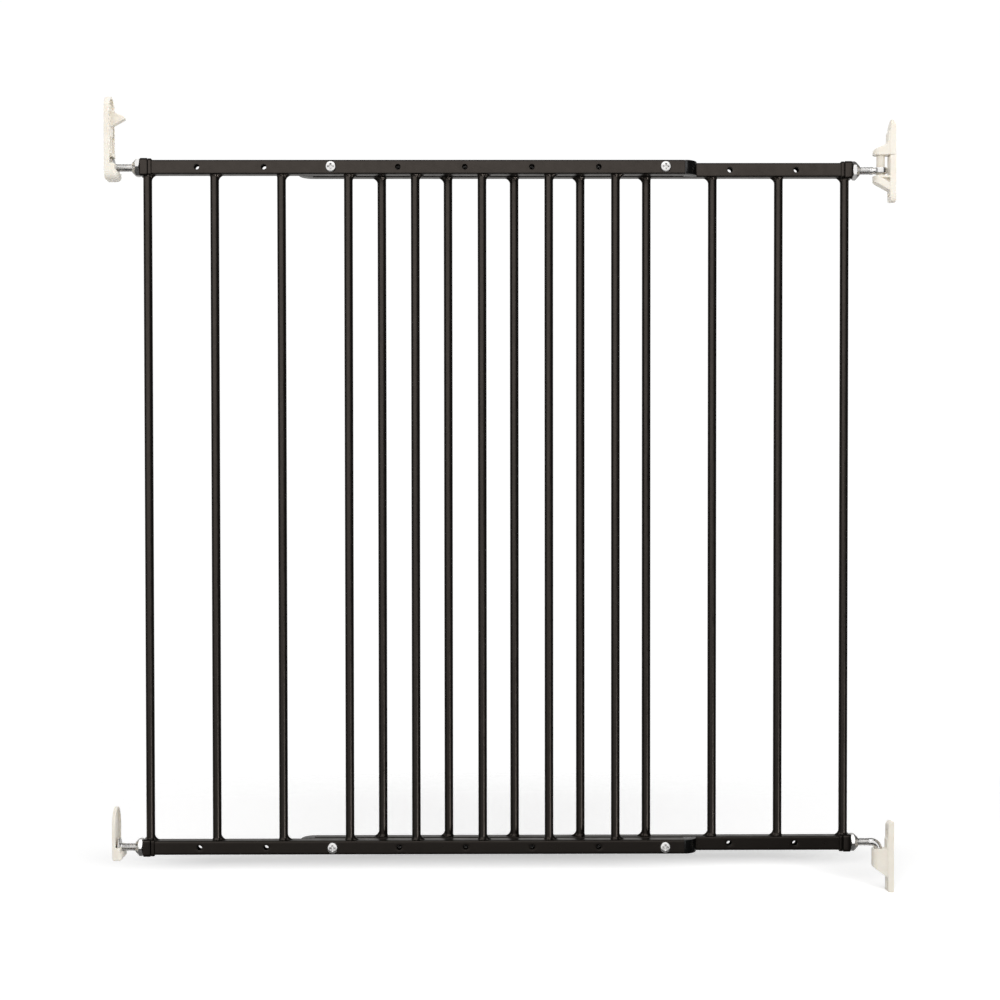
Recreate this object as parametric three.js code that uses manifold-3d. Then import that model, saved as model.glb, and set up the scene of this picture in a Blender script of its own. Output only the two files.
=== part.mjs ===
// Wall-held metal safety gate: two sliding panels of bars, a hinge side and a lift-to-open latch side.
// Millimetres. X runs along the gate towards the hinge wall, -Y is the front, Z is up.
// The origin is the middle of the lower hinge bracket's back face, so the hinge wall is the plane X = 0.
import * as THREE from 'three';
import { mergeVertices } from 'three/addons/utils/BufferGeometryUtils.js';
import Module from 'manifold-3d';

const wasm = await Module();
wasm.setup();

// ---- driving dimensions ----
const PITCH = 69;                        // bar to bar
const BARS = 8;                          // bars in each panel
const BAR_D = 9;
const RAIL = 14.5;                       // square rail tube
const TUBE_WALL = 1.5;
const RAIL_CORNER = 1.2;
const RAIL_SPACING = 703.2;              // between the axes of the top and bottom rails
const PANEL_GAP = 4;                     // between the two panels
const HOLE_TO_BAR = 17.6;                // adjusting hole to the next bar
const HOLE_D = 5.3;
const RAIL_TAIL = 71;                    // rail past the last bar
const PLUG_LENGTH = 14.3;
const JOIN_GAP = 0.2;                    // left between two pieces that meet

const BOLT_R = 4;
const NUT_ACROSS_FLATS = 17.3;
const NUT_HEX = 4.7;
const NUT_CONE = 3.4;
const DISC_R = 9.5;
const DISC_T = 2.2;
const SCREW_R = 2.5;
const CAP_NUT_DEPTH = 8;

const LOW_AXIS_Z = 15;                   // bottom rail axis above the origin
const TOP_AXIS_Z = LOW_AXIS_Z + RAIL_SPACING;
const HINGE_X = -15;                     // hinge axis, in front of the wall plane
const HINGE_BAR_X = HINGE_X - 37.7;      // last bar of the hinge panel
const FRONT_Y = -(RAIL + PANEL_GAP);     // the latch panel stands in front of the hinge panel

const HALF_SPAN = (BARS - 1) * PITCH / 2;
const HINGE_PANEL_X = HINGE_BAR_X - HALF_SPAN;
const LATCH_PANEL_X = HINGE_PANEL_X - 4 * PITCH + 2 * HOLE_TO_BAR;
const LATCH_BAR_X = LATCH_PANEL_X - HALF_SPAN;

const LATCH_WIDTH = 33;                  // latch brackets, front to back
const HINGE_WIDTH = 15;                  // hinge brackets, front to back
const BRACKET_T = 6.2;                   // hinge bracket plate
const LIFT = 11;                         // the gate lifts this far to clear the latch cups
const EYE_T = 6;
const EYE_R = 7.5;
const BUSH_R = 5.2;
const BUSH_BORE_R = 4.5;
const PIN_R = 4.3;
const FIT = 0.2;                         // running fit, each side
const SCREW_HOLE_R = 2.4;                // wall screws
const SINK_R = 4.1;                      // countersink of the wall screws
const PAST = 1;                          // how far a cutting shape runs past the face it cuts

// ---- geometry helpers: plain three.js shapes turned into closed solids ----
const solid = (geometry) => {
  const bare = geometry.clone();
  bare.deleteAttribute('normal');
  bare.deleteAttribute('uv');
  const joined = mergeVertices(bare, 1e-4);
  return new wasm.Manifold(new wasm.Mesh({
    numProp: 3,
    vertProperties: new Float32Array(joined.attributes.position.array),
    triVerts: new Uint32Array(joined.index.array),
  }));
};

const geometryOf = (body) => {
  const mesh = body.getMesh();
  const geometry = new THREE.BufferGeometry();
  const count = mesh.vertProperties.length / mesh.numProp;
  const positions = new Float32Array(count * 3);
  for (let i = 0; i < count; i += 1) {
    for (let k = 0; k < 3; k += 1) positions[3 * i + k] = mesh.vertProperties[mesh.numProp * i + k];
  }
  geometry.setAttribute('position', new THREE.BufferAttribute(positions, 3));
  geometry.setIndex(new THREE.BufferAttribute(new Uint32Array(mesh.triVerts), 1));
  geometry.computeVertexNormals();
  return geometry;
};

const join = (first, ...rest) => rest.reduce((sum, body) => sum.add(body), first);
const cut = (first, ...rest) => rest.reduce((left, body) => left.subtract(body), first);

const box = (x0, x1, y0, y1, z0, z1) => {
  const geometry = new THREE.BoxGeometry(x1 - x0, y1 - y0, z1 - z0);
  geometry.translate((x0 + x1) / 2, (y0 + y1) / 2, (z0 + z1) / 2);
  return solid(geometry);
};

// A closed outline from corners [u, v, radius]. The radius is optional and rounds that corner.
const outline = (corners) => {
  const shape = new THREE.Shape();
  const count = corners.length;
  corners.forEach(([u, v, radius = 0], i) => {
    const here = new THREE.Vector2(u, v);
    const before = new THREE.Vector2(...corners[(i + count - 1) % count].slice(0, 2));
    const after = new THREE.Vector2(...corners[(i + 1) % count].slice(0, 2));
    const start = here.clone().add(before.sub(here).setLength(radius));
    const end = here.clone().add(after.sub(here).setLength(radius));
    if (i === 0) shape.moveTo(start.x, start.y);
    else shape.lineTo(start.x, start.y);
    if (radius > 0) shape.quadraticCurveTo(u, v, end.x, end.y);
  });
  shape.closePath();
  return shape;
};

const extruded = (shape, length, curveSegments = 4) =>
  new THREE.ExtrudeGeometry(shape, { depth: length, bevelEnabled: false, curveSegments });

// Outline drawn as [x, z], pulled along Y.
const prismY = (corners, y0, y1) => {
  const geometry = extruded(outline(corners), y1 - y0);
  geometry.rotateX(Math.PI / 2);
  geometry.translate(0, y1, 0);
  return solid(geometry);
};

// Outline drawn as [y, z], pulled along X.
const prismX = (corners, x0, x1) => {
  const geometry = extruded(outline(corners), x1 - x0);
  geometry.rotateX(Math.PI / 2);
  geometry.rotateZ(Math.PI / 2);
  geometry.translate(x0, 0, 0);
  return solid(geometry);
};

// Outline drawn as [x, y], pulled along Z.
const prismZ = (corners, z0, z1) => {
  const geometry = extruded(outline(corners), z1 - z0);
  geometry.translate(0, 0, z0);
  return solid(geometry);
};

const SIDES = 20;
const rod = (axis, radius, from, to, centre, sides = SIDES, endRadius = radius, turn = 0) => {
  const geometry = new THREE.CylinderGeometry(endRadius, radius, to - from, sides, 1, false, turn);
  geometry.translate(0, (from + to) / 2, 0);
  if (axis === 'x') geometry.rotateZ(-Math.PI / 2);
  if (axis === 'z') geometry.rotateX(Math.PI / 2);
  geometry.translate(...centre);
  return solid(geometry);
};
const rodX = (radius, x0, x1, y, z, ...more) => rod('x', radius, x0, x1, [0, y, z], ...more);
const rodY = (radius, y0, y1, x, z, ...more) => rod('y', radius, y0, y1, [x, 0, z], ...more);
const rodZ = (radius, z0, z1, x, y, ...more) => rod('z', radius, z0, z1, [x, y, 0], ...more);

const square = (half, radius) => [
  [-half, -half, radius], [half, -half, radius], [half, half, radius], [-half, half, radius],
];

// Corners of a plate drawn as [y, z] with an elliptical arch at the top. foot rounds its lower corners.
const archedPlate = (width, bottom, top, rise, foot) => {
  const corners = [[-width / 2, bottom, foot], [width / 2, bottom, foot]];
  const steps = 12;
  for (let i = 0; i <= steps; i += 1) {
    const angle = Math.PI * i / steps;
    corners.push([width / 2 * Math.cos(angle), top - rise + rise * Math.sin(angle)]);
  }
  return corners;
};

// ---- materials ----
const finish = (color, roughness, metalness) => ({ color, roughness, metalness });
const BLACK_COAT = finish(0x2b2826, 0.42, 0.2);
const BLACK_PLASTIC = finish(0x101010, 0.3, 0);
const CREAM = finish(0xece5d6, 0.45, 0);
const ZINC = finish(0xc6c7c9, 0.25, 1);
const NYLON = finish(0xd8d8d4, 0.5, 0);

const piece = (name, body, look) => {
  const mesh = new THREE.Mesh(geometryOf(body), new THREE.MeshStandardMaterial(look));
  mesh.name = name;
  return mesh;
};

// ---- panel pieces, in a panel's own axes: x from the middle of its bars, y = 0 and z = 0 on its rails ----
const FIRST_BAR = -HALF_SPAN;
const BLOCK_OUT = 7.2;                   // end block, outer end to the bar's axis
const BLOCK_IN = 5;                      // bar's axis to the start of the rail
const RIB_PROUD = 1.8;                   // outer rib above the rail's faces
const RIB_CORNER = 2.2;
const RIB_STEP = 1.2;                    // the outer rib steps down this far from its end
const GROOVE_FROM = 1;                   // groove, from the bar's axis
const GROOVE_WIDTH = 0.5;
const SPIGOT = 14;                       // length of the spigots inside the tube
const SPIGOT_HALF = RAIL / 2 - TUBE_WALL - FIT;
const RAIL_START = FIRST_BAR + BLOCK_IN + JOIN_GAP;
const RAIL_END = HALF_SPAN + RAIL_TAIL;
const INNER = RAIL / 2 - TUBE_WALL;

const holeXs = () => {
  const xs = [];
  for (let i = 1; i <= BARS; i += 1) xs.push(FIRST_BAR + i * PITCH - HOLE_TO_BAR);
  return xs;
};

const rail = () => {
  const outer = prismX(square(RAIL / 2, RAIL_CORNER), RAIL_START, RAIL_END);
  const bore = box(RAIL_START - 1, RAIL_END + 1, -INNER, INNER, -INNER, INNER);
  const holes = holeXs().map((x) => rodY(HOLE_D / 2, -RAIL, RAIL, x, 0, 12));
  return cut(outer, bore, ...holes);
};

// Two rounded ribs with a groove between them, and a hollow spigot that sits inside the tube.
const endBlock = () => {
  const rib = (from, to, proud) => prismX(square(RAIL / 2 + proud, RIB_CORNER), from, to);
  const outer = FIRST_BAR - BLOCK_OUT;
  const inner = FIRST_BAR + BLOCK_IN;
  const groove = FIRST_BAR + GROOVE_FROM;
  return cut(
    join(
      rib(outer, outer + RIB_STEP, RIB_PROUD - 1.4),
      rib(outer + RIB_STEP, groove, RIB_PROUD),
      rib(groove, groove + GROOVE_WIDTH, RIB_PROUD - 1),
      rib(groove + GROOVE_WIDTH, inner, RIB_PROUD - 0.4),
      box(inner - 1, inner + SPIGOT, -SPIGOT_HALF, SPIGOT_HALF, -SPIGOT_HALF, SPIGOT_HALF),
    ),
    rodX(BOLT_R + FIT, outer - PAST, inner + SPIGOT + PAST, 0, 0),
  );
};

// Fills the rail's free end and curves over to touch the other panel.
const guidePlug = () => {
  const start = RAIL_END + JOIN_GAP;
  const end = RAIL_END + PLUG_LENGTH;
  const front = -RAIL / 2;
  const back = RAIL / 2 + PANEL_GAP - JOIN_GAP;
  const bend = PLUG_LENGTH - JOIN_GAP;
  const corners = [[start, back], [start, front]];
  const steps = 8;
  for (let i = 1; i <= steps; i += 1) {
    const angle = Math.PI / 2 * i / steps;
    corners.push([start + bend * Math.sin(angle), front + bend * (1 - Math.cos(angle))]);
  }
  corners.push([end, back]);
  const height = RAIL / 2 - 0.1;
  const spigot = box(start - SPIGOT, start + 1, -SPIGOT_HALF, SPIGOT_HALF, -SPIGOT_HALF, SPIGOT_HALF);
  return join(prismZ(corners, -height, height), spigot);
};

// A bar with a weld fillet at each end, on the side away from the end block.
// The first bar stands under the end blocks, so it is a little shorter and its fillets start beside them.
const WELD = 5;
const UNDER_RAIL = (RAIL_SPACING - RAIL) / 2 - JOIN_GAP;

const fillet = (x, end) => prismY([
  [x + BAR_D / 2 - 1, end * UNDER_RAIL],
  [x + BAR_D / 2 + WELD, end * UNDER_RAIL],
  [x + BAR_D / 2 - 1, end * (UNDER_RAIL - WELD - 1)],
], -2.6, 2.6);

const bar = (index) => {
  const x = FIRST_BAR + index * PITCH;
  const whole = join(rodZ(BAR_D / 2, -UNDER_RAIL, UNDER_RAIL, x, 0, 18), fillet(x, 1), fillet(x, -1));
  if (index > 0) return whole;
  const room = (from, to) => box(x - BAR_D, x + BLOCK_IN + JOIN_GAP, -BAR_D, BAR_D, from, to);
  const short = UNDER_RAIL - RIB_PROUD;
  return cut(whole, room(short, UNDER_RAIL + 1), room(-UNDER_RAIL - 1, -short));
};

// ---- screws, bolts and nuts ----
const HEAD_R = 5.6;
const HEAD_RIM = 1.4;                    // height of the head's straight rim; its crown is as tall again
const CROSS_LENGTH = 7.4;
const CROSS_WIDTH = 1.6;

const panelScrew = (x, z) => {
  const face = FRONT_Y - RAIL / 2;
  const rim = rodY(HEAD_R, face - HEAD_RIM, face, x, z);
  const crown = rodY(HEAD_R - 1.2, face - 2 * HEAD_RIM, face - HEAD_RIM, x, z, SIDES, HEAD_R);
  const cross = (w, h) => box(
    x - w / 2, x + w / 2, face - 2 * HEAD_RIM - PAST, face - HEAD_RIM + 0.2, z - h / 2, z + h / 2,
  );
  const shank = rodY(SCREW_R, face - 1, RAIL / 2 + CAP_NUT_DEPTH - 2, x, z, 16);
  return cut(join(rim, crown, shank), cross(CROSS_LENGTH, CROSS_WIDTH), cross(CROSS_WIDTH, CROSS_LENGTH));
};

const capNut = (x, z) => {
  const back = RAIL / 2;
  const flange = rodY(6, back, back + 1.2, x, z);
  const hex = rodY(4.9, back + 1, back + 5, x, z, 6);
  const dome = rodY(4.1, back + 4.8, back + CAP_NUT_DEPTH + 1, x, z, SIDES, 2.2);
  const thread = rodY(SCREW_R + FIT, back - 1, back + CAP_NUT_DEPTH - 1.7, x, z, 16);
  return cut(join(flange, hex, dome), thread);
};

// direction is +1 when the nut's cone points towards +X. turn sets where its corners lie.
const FLATS_UP = Math.PI / 6;
const CORNER_UP = 0;
const lockNut = (x, y, z, direction, turn) => {
  const flat = x + direction * NUT_HEX;
  const tip = flat + direction * NUT_CONE;
  const hexR = NUT_ACROSS_FLATS / Math.sqrt(3);
  const hex = rodX(hexR, Math.min(x, flat), Math.max(x, flat), y, z, 6, hexR, turn);
  const wide = NUT_ACROSS_FLATS / 2;
  const narrow = BOLT_R + 1.2;
  const cone = direction > 0
    ? rodX(wide, flat - 0.5, tip, y, z, SIDES, narrow)
    : rodX(narrow, tip, flat + 0.5, y, z, SIDES, wide);
  const bore = rodX(BOLT_R + FIT, Math.min(x, tip) - 1, Math.max(x, tip) + 1, y, z);
  return cut(join(hex, cone), bore);
};

const BOLT_IN = 22;                      // length of bolt inside the end block and rail

const DISC_EDGE = 0.5;                   // chamfer of the disc

const latchBolt = (discBack, z) => {
  const discFace = discBack + DISC_T;
  const small = DISC_R - DISC_EDGE;
  const disc = rodX(DISC_R, discBack + DISC_EDGE, discFace - DISC_EDGE, FRONT_Y, z);
  const back = rodX(small, discBack, discBack + DISC_EDGE, FRONT_Y, z, SIDES, DISC_R);
  const face = rodX(DISC_R, discFace - DISC_EDGE, discFace, FRONT_Y, z, SIDES, small);
  const shank = rodX(BOLT_R, discBack + 1, LATCH_BAR_X - BLOCK_OUT + BOLT_IN, FRONT_Y, z);
  return join(disc, back, face, shank);
};

const eyeBolt = () => {
  const start = HINGE_BAR_X + BLOCK_OUT - BOLT_IN;
  const low = TOP_AXIS_Z - EYE_T / 2;
  const high = TOP_AXIS_Z + EYE_T / 2;
  const eye = rodZ(EYE_R, low, high, HINGE_X, 0, 32);
  const neck = rodX(BOLT_R, start, HINGE_X - BUSH_R, 0, TOP_AXIS_Z);
  const flattened = HINGE_X - 12;
  const above = box(flattened, HINGE_X, -EYE_R, EYE_R, high, high + BOLT_R);
  const below = box(flattened, HINGE_X, -EYE_R, EYE_R, low - BOLT_R, low);
  const shank = cut(neck, above, below);
  const hole = rodZ(BUSH_R + 0.1, TOP_AXIS_Z - 9, TOP_AXIS_Z + 9, HINGE_X, 0, 32);
  return cut(join(shank, eye), hole);
};

const BEND_R = 8;
const LEG_BOTTOM_Z = -11;                // lower end of the bent bolt's leg, inside the socket

class QuarterBend extends THREE.Curve {
  getPoint(t) {
    const angle = Math.PI / 2 * t;
    const x = HINGE_X - BEND_R + BEND_R * Math.sin(angle);
    return new THREE.Vector3(x, 0, LOW_AXIS_Z - BEND_R + BEND_R * Math.cos(angle));
  }
}

const bentBolt = () => {
  const path = new THREE.CurvePath();
  const start = HINGE_BAR_X + BLOCK_OUT - BOLT_IN;
  const bendStart = new THREE.Vector3(HINGE_X - BEND_R, 0, LOW_AXIS_Z);
  const bendEnd = new THREE.Vector3(HINGE_X, 0, LOW_AXIS_Z - BEND_R);
  path.add(new THREE.LineCurve3(new THREE.Vector3(start, 0, LOW_AXIS_Z), bendStart));
  path.add(new QuarterBend());
  path.add(new THREE.LineCurve3(bendEnd, new THREE.Vector3(HINGE_X, 0, LEG_BOTTOM_Z)));
  const round = new THREE.Shape();
  round.absarc(0, 0, BOLT_R, 0, 2 * Math.PI);
  const sweep = { steps: 30, extrudePath: path, bevelEnabled: false, curveSegments: 8 };
  return solid(new THREE.ExtrudeGeometry(round, sweep));
};

const eyeBush = () => {
  const low = TOP_AXIS_Z - EYE_T / 2 - 0.2;
  const high = TOP_AXIS_Z + EYE_T / 2 + 0.2;
  return cut(rodZ(BUSH_R, low, high, HINGE_X, 0, 32), rodZ(BUSH_BORE_R, low - 1, high + 1, HINGE_X, 0, 32));
};

// ---- latch brackets, drawn with x from the wall and z from the bolt's axis ----
const SLOT_R = BOLT_R + 0.4;
const DISC_CLEAR = 0.3;                  // disc to the rims behind it and to the cup in front of it
const CATCH_T = 1.8;
const CUP_CORNER = 4.5;                    // cup corners, seen from above

const UPPER_LATCH = {
  wallX: -818.4, axisZ: TOP_AXIS_Z, top: 72.8, rise: 13, bottom: -13.1, foot: 8, lean: 0,
  rim: 5.3, rimSide: 4, rimTop: 2.2, floor: 2.4, screws: [24.5, 62],
  cupTop: 2.8, lip: 10.3, bulge: 12.6, base: 6,
};
const LOWER_LATCH = {
  wallX: -813.8, axisZ: LOW_AXIS_Z, top: 42.2, rise: 19, bottom: -12, foot: 3, lean: 1,
  rim: 3.5, rimSide: 2.5, rimTop: 2.5, floor: 1.6, screws: [30],
  cupTop: 1.2, lip: 8, bulge: 10, base: 3.5,
};
const discBackOf = (s) => s.wallX + s.rim + DISC_CLEAR;

const screwHole = (floor, z) => join(
  rodX(SCREW_HOLE_R, -PAST, floor + PAST, 0, z, 16),
  rodX(SCREW_HOLE_R, floor - 1, floor + 0.01, 0, z, 16, SINK_R),
);

// The cup is open at the top. Its end wall is lower and fuller below the bolt than beside it.
const latchBracket = (s) => {
  const half = LATCH_WIDTH / 2;
  const low = s.bottom - PAST;
  const plate = prismX(archedPlate(LATCH_WIDTH, s.bottom, s.top, s.rise, s.foot), 0, s.rim);
  const cupSide = prismY([
    [0, s.bottom], [s.bulge, s.bottom, s.base], [s.bulge, -SLOT_R, 1.5],
    [s.lip, -SLOT_R + 1.5], [s.lip, s.cupTop, 0.8], [0, s.cupTop],
  ], -half, half);
  const cupPlan = prismZ([
    [-1, -half], [s.bulge, -half, CUP_CORNER], [s.bulge, half, CUP_CORNER], [-1, half],
  ], low, s.top);
  const cupFoot = prismX([
    [-half, s.bottom, s.foot], [half, s.bottom, s.foot], [half, s.top], [-half, s.top],
  ], -1, s.bulge + PAST);
  const lean = prismY([[-1, -8], [0, -8], [s.lean, s.bottom], [s.lean, low], [-1, low]], -half - 1, half + 1);
  const inset = LATCH_WIDTH - 2 * s.rimSide;
  const recessTop = s.top - s.rimTop;
  const recess = prismX(archedPlate(inset, s.cupTop, recessTop, s.rise - 2, 0), s.floor, s.rim + PAST);
  const pocketR = DISC_R + 0.5;
  const pocketEnd = s.rim + 2 * DISC_CLEAR + DISC_T;
  const pocket = join(
    rodX(pocketR, s.floor, pocketEnd, 0, 0, 32),
    box(s.floor, pocketEnd, -pocketR, pocketR, 0, s.cupTop + PAST),
  );
  const slot = join(
    rodX(SLOT_R, pocketEnd - 1, s.bulge + PAST, 0, 0),
    box(pocketEnd - 1, s.bulge + PAST, -SLOT_R, SLOT_R, 0, s.cupTop + PAST),
  );
  const cup = cupSide.intersect(cupPlan).intersect(cupFoot);
  return cut(join(plate, cup), lean, recess, pocket, slot, ...s.screws.map((z) => screwHole(s.floor, z)));
};

const FLANGE_HALF = 13.6;                // half width of the catch's flange, held in grooves behind the rims
const FLANGE_Z = [34, 46];
const catchGrooves = () => box(
  UPPER_LATCH.floor, UPPER_LATCH.floor + CATCH_T + 2 * FIT, -FLANGE_HALF - FIT, FLANGE_HALF + FIT,
  FLANGE_Z[0] - 3, FLANGE_Z[1] + LIFT + 1,
);

// The thumb piece: a flanged slide with a pointed grip, and a foot that sits just above the bolt's disc.
const FOOT_Z = DISC_R + 1;
const FOOT_T = 3.5;
const SPINE_HALF = 7;
const SPINE_TOP_Z = 52;
const GRIP_HALF = 4.8;
const GRIP_Z = [41.5, 58.3];
const GRIP_TIP = [21.2, 50.9];
const SCREW_SLOT_HALF = 3.4;
const SCREW_SLOT_Z = [17, 33];

const latchCatch = () => {
  const back = UPPER_LATCH.floor + FIT;
  const front = back + CATCH_T;
  const footFront = UPPER_LATCH.rim + DISC_CLEAR + DISC_T;
  const flange = box(back, front, -FLANGE_HALF, FLANGE_HALF, ...FLANGE_Z);
  const spine = box(back, front, -SPINE_HALF, SPINE_HALF, FOOT_Z, SPINE_TOP_Z);
  const foot = box(back, footFront, -SPINE_HALF, SPINE_HALF, FOOT_Z, FOOT_Z + FOOT_T);
  const grip = prismY([
    [back, GRIP_Z[0]], [front, GRIP_Z[0]], [...GRIP_TIP, 3], [front, GRIP_Z[1]], [back, GRIP_Z[1]],
  ], -GRIP_HALF, GRIP_HALF);
  const screwSlot = box(back - PAST, front + PAST, -SCREW_SLOT_HALF, SCREW_SLOT_HALF, ...SCREW_SLOT_Z);
  return cut(join(flange, spine, foot, grip), screwSlot);
};

// ---- hinge brackets, drawn in the gate's own axes ----
const ARM_REACH = HINGE_X - 8;           // free end of both upper arms
const ARM_HALF = 7;
const SEAM_Z = TOP_AXIS_Z + EYE_T / 2 + LIFT + 2;
const ARM_TOP_Z = TOP_AXIS_Z - EYE_T / 2 - 2.4;
const UPPER_TOP_Z = 771.6;
const UPPER_BOTTOM_Z = 685.3;
const TONGUE_TOP_Z = 762;
const TONGUE_T = 3.2;
const TONGUE_HALF = 4.5;
const PIN_BOTTOM_Z = ARM_TOP_Z - 5.6;
const RECESS_TIP = 1;                    // depth of the recess in each side of the lower arm, at its ends
const RECESS_ROOT = 4.2;
const BOSS_PROUD = 1.8;                  // the cap's screw boss stands this far off its plate
const UPPER_SCREWS_Z = [693, 757];
const LOWER_SCREWS_Z = [24, -30];

const roundedPlan = (reach, half, corner, z0, z1) => prismZ([
  [reach, -half, corner], [1, -half], [1, half], [reach, half, corner],
], z0, z1);

const upperHingeBracket = () => {
  const half = HINGE_WIDTH / 2;
  const plateTop = SEAM_Z - JOIN_GAP;
  const plate = prismX([
    [-half, UPPER_BOTTOM_Z, 5], [half, UPPER_BOTTOM_Z, 5], [half, plateTop], [-half, plateTop],
  ], -BRACKET_T, 0);
  const tongue = box(-TONGUE_T, 0, -TONGUE_HALF, TONGUE_HALF, SEAM_Z - 1, TONGUE_TOP_Z);
  const arm = prismY([
    [-3, ARM_TOP_Z], [ARM_REACH, ARM_TOP_Z, 0.8], [ARM_REACH, ARM_TOP_Z - 6.4, 1.5],
    [-BRACKET_T, ARM_TOP_Z - 15.6, 2], [-3, ARM_TOP_Z - 18],
  ], -ARM_HALF, ARM_HALF).intersect(roundedPlan(ARM_REACH, ARM_HALF, 5.5, UPPER_BOTTOM_Z, SEAM_Z));
  const outer = ARM_HALF + PAST;
  const tip = HINGE_X - 1;
  const recess = (side) => prismY([
    [tip, ARM_TOP_Z - 2.2, 0.8], [-BRACKET_T, ARM_TOP_Z - 2.2], [-BRACKET_T, ARM_TOP_Z - 7.4, 0.8],
  ], -outer, outer).intersect(prismZ([
    [tip - PAST, side * (ARM_HALF - RECESS_TIP)], [tip, side * (ARM_HALF - RECESS_TIP)],
    [-BRACKET_T, side * (ARM_HALF - RECESS_ROOT)], [-BRACKET_T, side * outer], [tip - PAST, side * outer],
  ], UPPER_BOTTOM_Z, SEAM_Z));
  const pinHole = rodZ(PIN_R + FIT, PIN_BOTTOM_Z - 0.5, ARM_TOP_Z + PAST, HINGE_X, 0);
  const screws = UPPER_SCREWS_Z.map((z) => rodX(SCREW_HOLE_R, -BRACKET_T - 3, PAST, 0, z, 16));
  return cut(
    join(plate, tongue, arm),
    recess(-1),
    recess(1),
    pinHole,
    ...screws,
  );
};

const hingeCap = () => {
  const face = -BRACKET_T - BOSS_PROUD;
  const top = UPPER_TOP_Z;
  const plateSide = prismY([
    [-BRACKET_T, SEAM_Z], [-BRACKET_T, top - 8, 3], [-4.2, top], [-2.6, top],
    [-0.1, top - 6, 1], [-0.1, SEAM_Z],
  ], -HINGE_WIDTH / 2, HINGE_WIDTH / 2);
  const plate = plateSide.intersect(prismX(archedPlate(HINGE_WIDTH, SEAM_Z, top, 9, 0), -BRACKET_T - 1, 0));
  const arm = prismY([
    [-3, SEAM_Z], [ARM_REACH, SEAM_Z, 0.8], [ARM_REACH, SEAM_Z + 5.8, 3], [-10.4, SEAM_Z + 10.8, 1.6],
    [face, SEAM_Z + 13.6, 1.6], [face, SEAM_Z + 23, 1], [-3, SEAM_Z + 32],
  ], -ARM_HALF, ARM_HALF).intersect(roundedPlan(ARM_REACH, ARM_HALF, 5.5, SEAM_Z - 1, top));
  const slotTop = TONGUE_TOP_Z + FIT;
  const slot = box(-TONGUE_T - FIT, PAST, -TONGUE_HALF - FIT, TONGUE_HALF + FIT, SEAM_Z - 1, slotTop);
  const pin = rodZ(PIN_R, PIN_BOTTOM_Z + 1, SEAM_Z + 1, HINGE_X, 0);
  const tip = rodZ(PIN_R - 1, PIN_BOTTOM_Z, PIN_BOTTOM_Z + 1, HINGE_X, 0, SIDES, PIN_R);
  return join(cut(join(plate, arm), slot), pin, tip);
};

const LOWER_TOP_Z = 37.1;
const LOWER_BOTTOM_Z = -37.2;
const SOCKET_TOP_Z = 8.3;
const SOCKET_HALF = 6.6;
const SOCKET_REACH = HINGE_X - 7;

const lowerHingeBracket = () => {
  const half = HINGE_WIDTH / 2;
  const plate = prismY([
    [-BRACKET_T, LOWER_BOTTOM_Z, 1.5], [0, LOWER_BOTTOM_Z, 0.8], [0, LOWER_TOP_Z, 0.8],
    [-BRACKET_T, LOWER_TOP_Z, 5.2],
  ], -half, half);
  const boss = prismY([
    [-3, SOCKET_TOP_Z], [SOCKET_REACH, SOCKET_TOP_Z, 0.8], [SOCKET_REACH, -10.5, 2],
    [-BRACKET_T, -21.8, 2], [-3, -24],
  ], -SOCKET_HALF, SOCKET_HALF);
  const pad = prismY([
    [-3, SOCKET_TOP_Z - 2], [-BRACKET_T - 1, SOCKET_TOP_Z - 2], [-BRACKET_T - 1, 18.5, 1], [-3, 20.5],
  ], -SOCKET_HALF, SOCKET_HALF);
  const plan = roundedPlan(SOCKET_REACH, SOCKET_HALF, 5.5, LOWER_BOTTOM_Z, LOWER_TOP_Z);
  const hole = rodZ(BOLT_R + 0.45, LEG_BOTTOM_Z - 0.5, SOCKET_TOP_Z + PAST, HINGE_X, 0);
  const screws = LOWER_SCREWS_Z.map((z) => join(
    rodX(SCREW_HOLE_R, -BRACKET_T - 3, PAST, 0, z, 16),
    rodX(SINK_R, -BRACKET_T - 0.01, -BRACKET_T + 2, 0, z, 16, SCREW_HOLE_R),
  ));
  return cut(join(plate, boss.intersect(plan), pad), hole, ...screws);
};

// ---- assembly ----
const buildPanel = (prefix) => {
  const panel = new THREE.Group();
  panel.name = `${prefix}_panel`;
  for (const [level, z] of [['top', RAIL_SPACING / 2], ['bottom', -RAIL_SPACING / 2]]) {
    const pieces = [
      piece(`${prefix}_${level}_rail`, rail(), BLACK_COAT),
      piece(`${prefix}_${level}_end_block`, endBlock(), BLACK_COAT),
      piece(`${prefix}_${level}_guide_plug`, guidePlug(), BLACK_PLASTIC),
    ];
    for (const mesh of pieces) {
      mesh.position.z = z;
      panel.add(mesh);
    }
  }
  for (let i = 0; i < BARS; i += 1) panel.add(piece(`${prefix}_bar_${i + 1}`, bar(i), BLACK_COAT));
  return panel;
};

const addScrews = (gate) => {
  const columns = {
    left: HINGE_PANEL_X - HALF_SPAN - PITCH + HOLE_TO_BAR,
    right: LATCH_PANEL_X + HALF_SPAN + PITCH - HOLE_TO_BAR,
  };
  const rows = { top: TOP_AXIS_Z, bottom: LOW_AXIS_Z };
  for (const [side, x] of Object.entries(columns)) {
    for (const [level, z] of Object.entries(rows)) {
      gate.add(piece(`panel_screw_${level}_${side}`, panelScrew(x, z), ZINC));
      gate.add(piece(`cap_nut_${level}_${side}`, capNut(x, z), ZINC));
    }
  }
};

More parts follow.
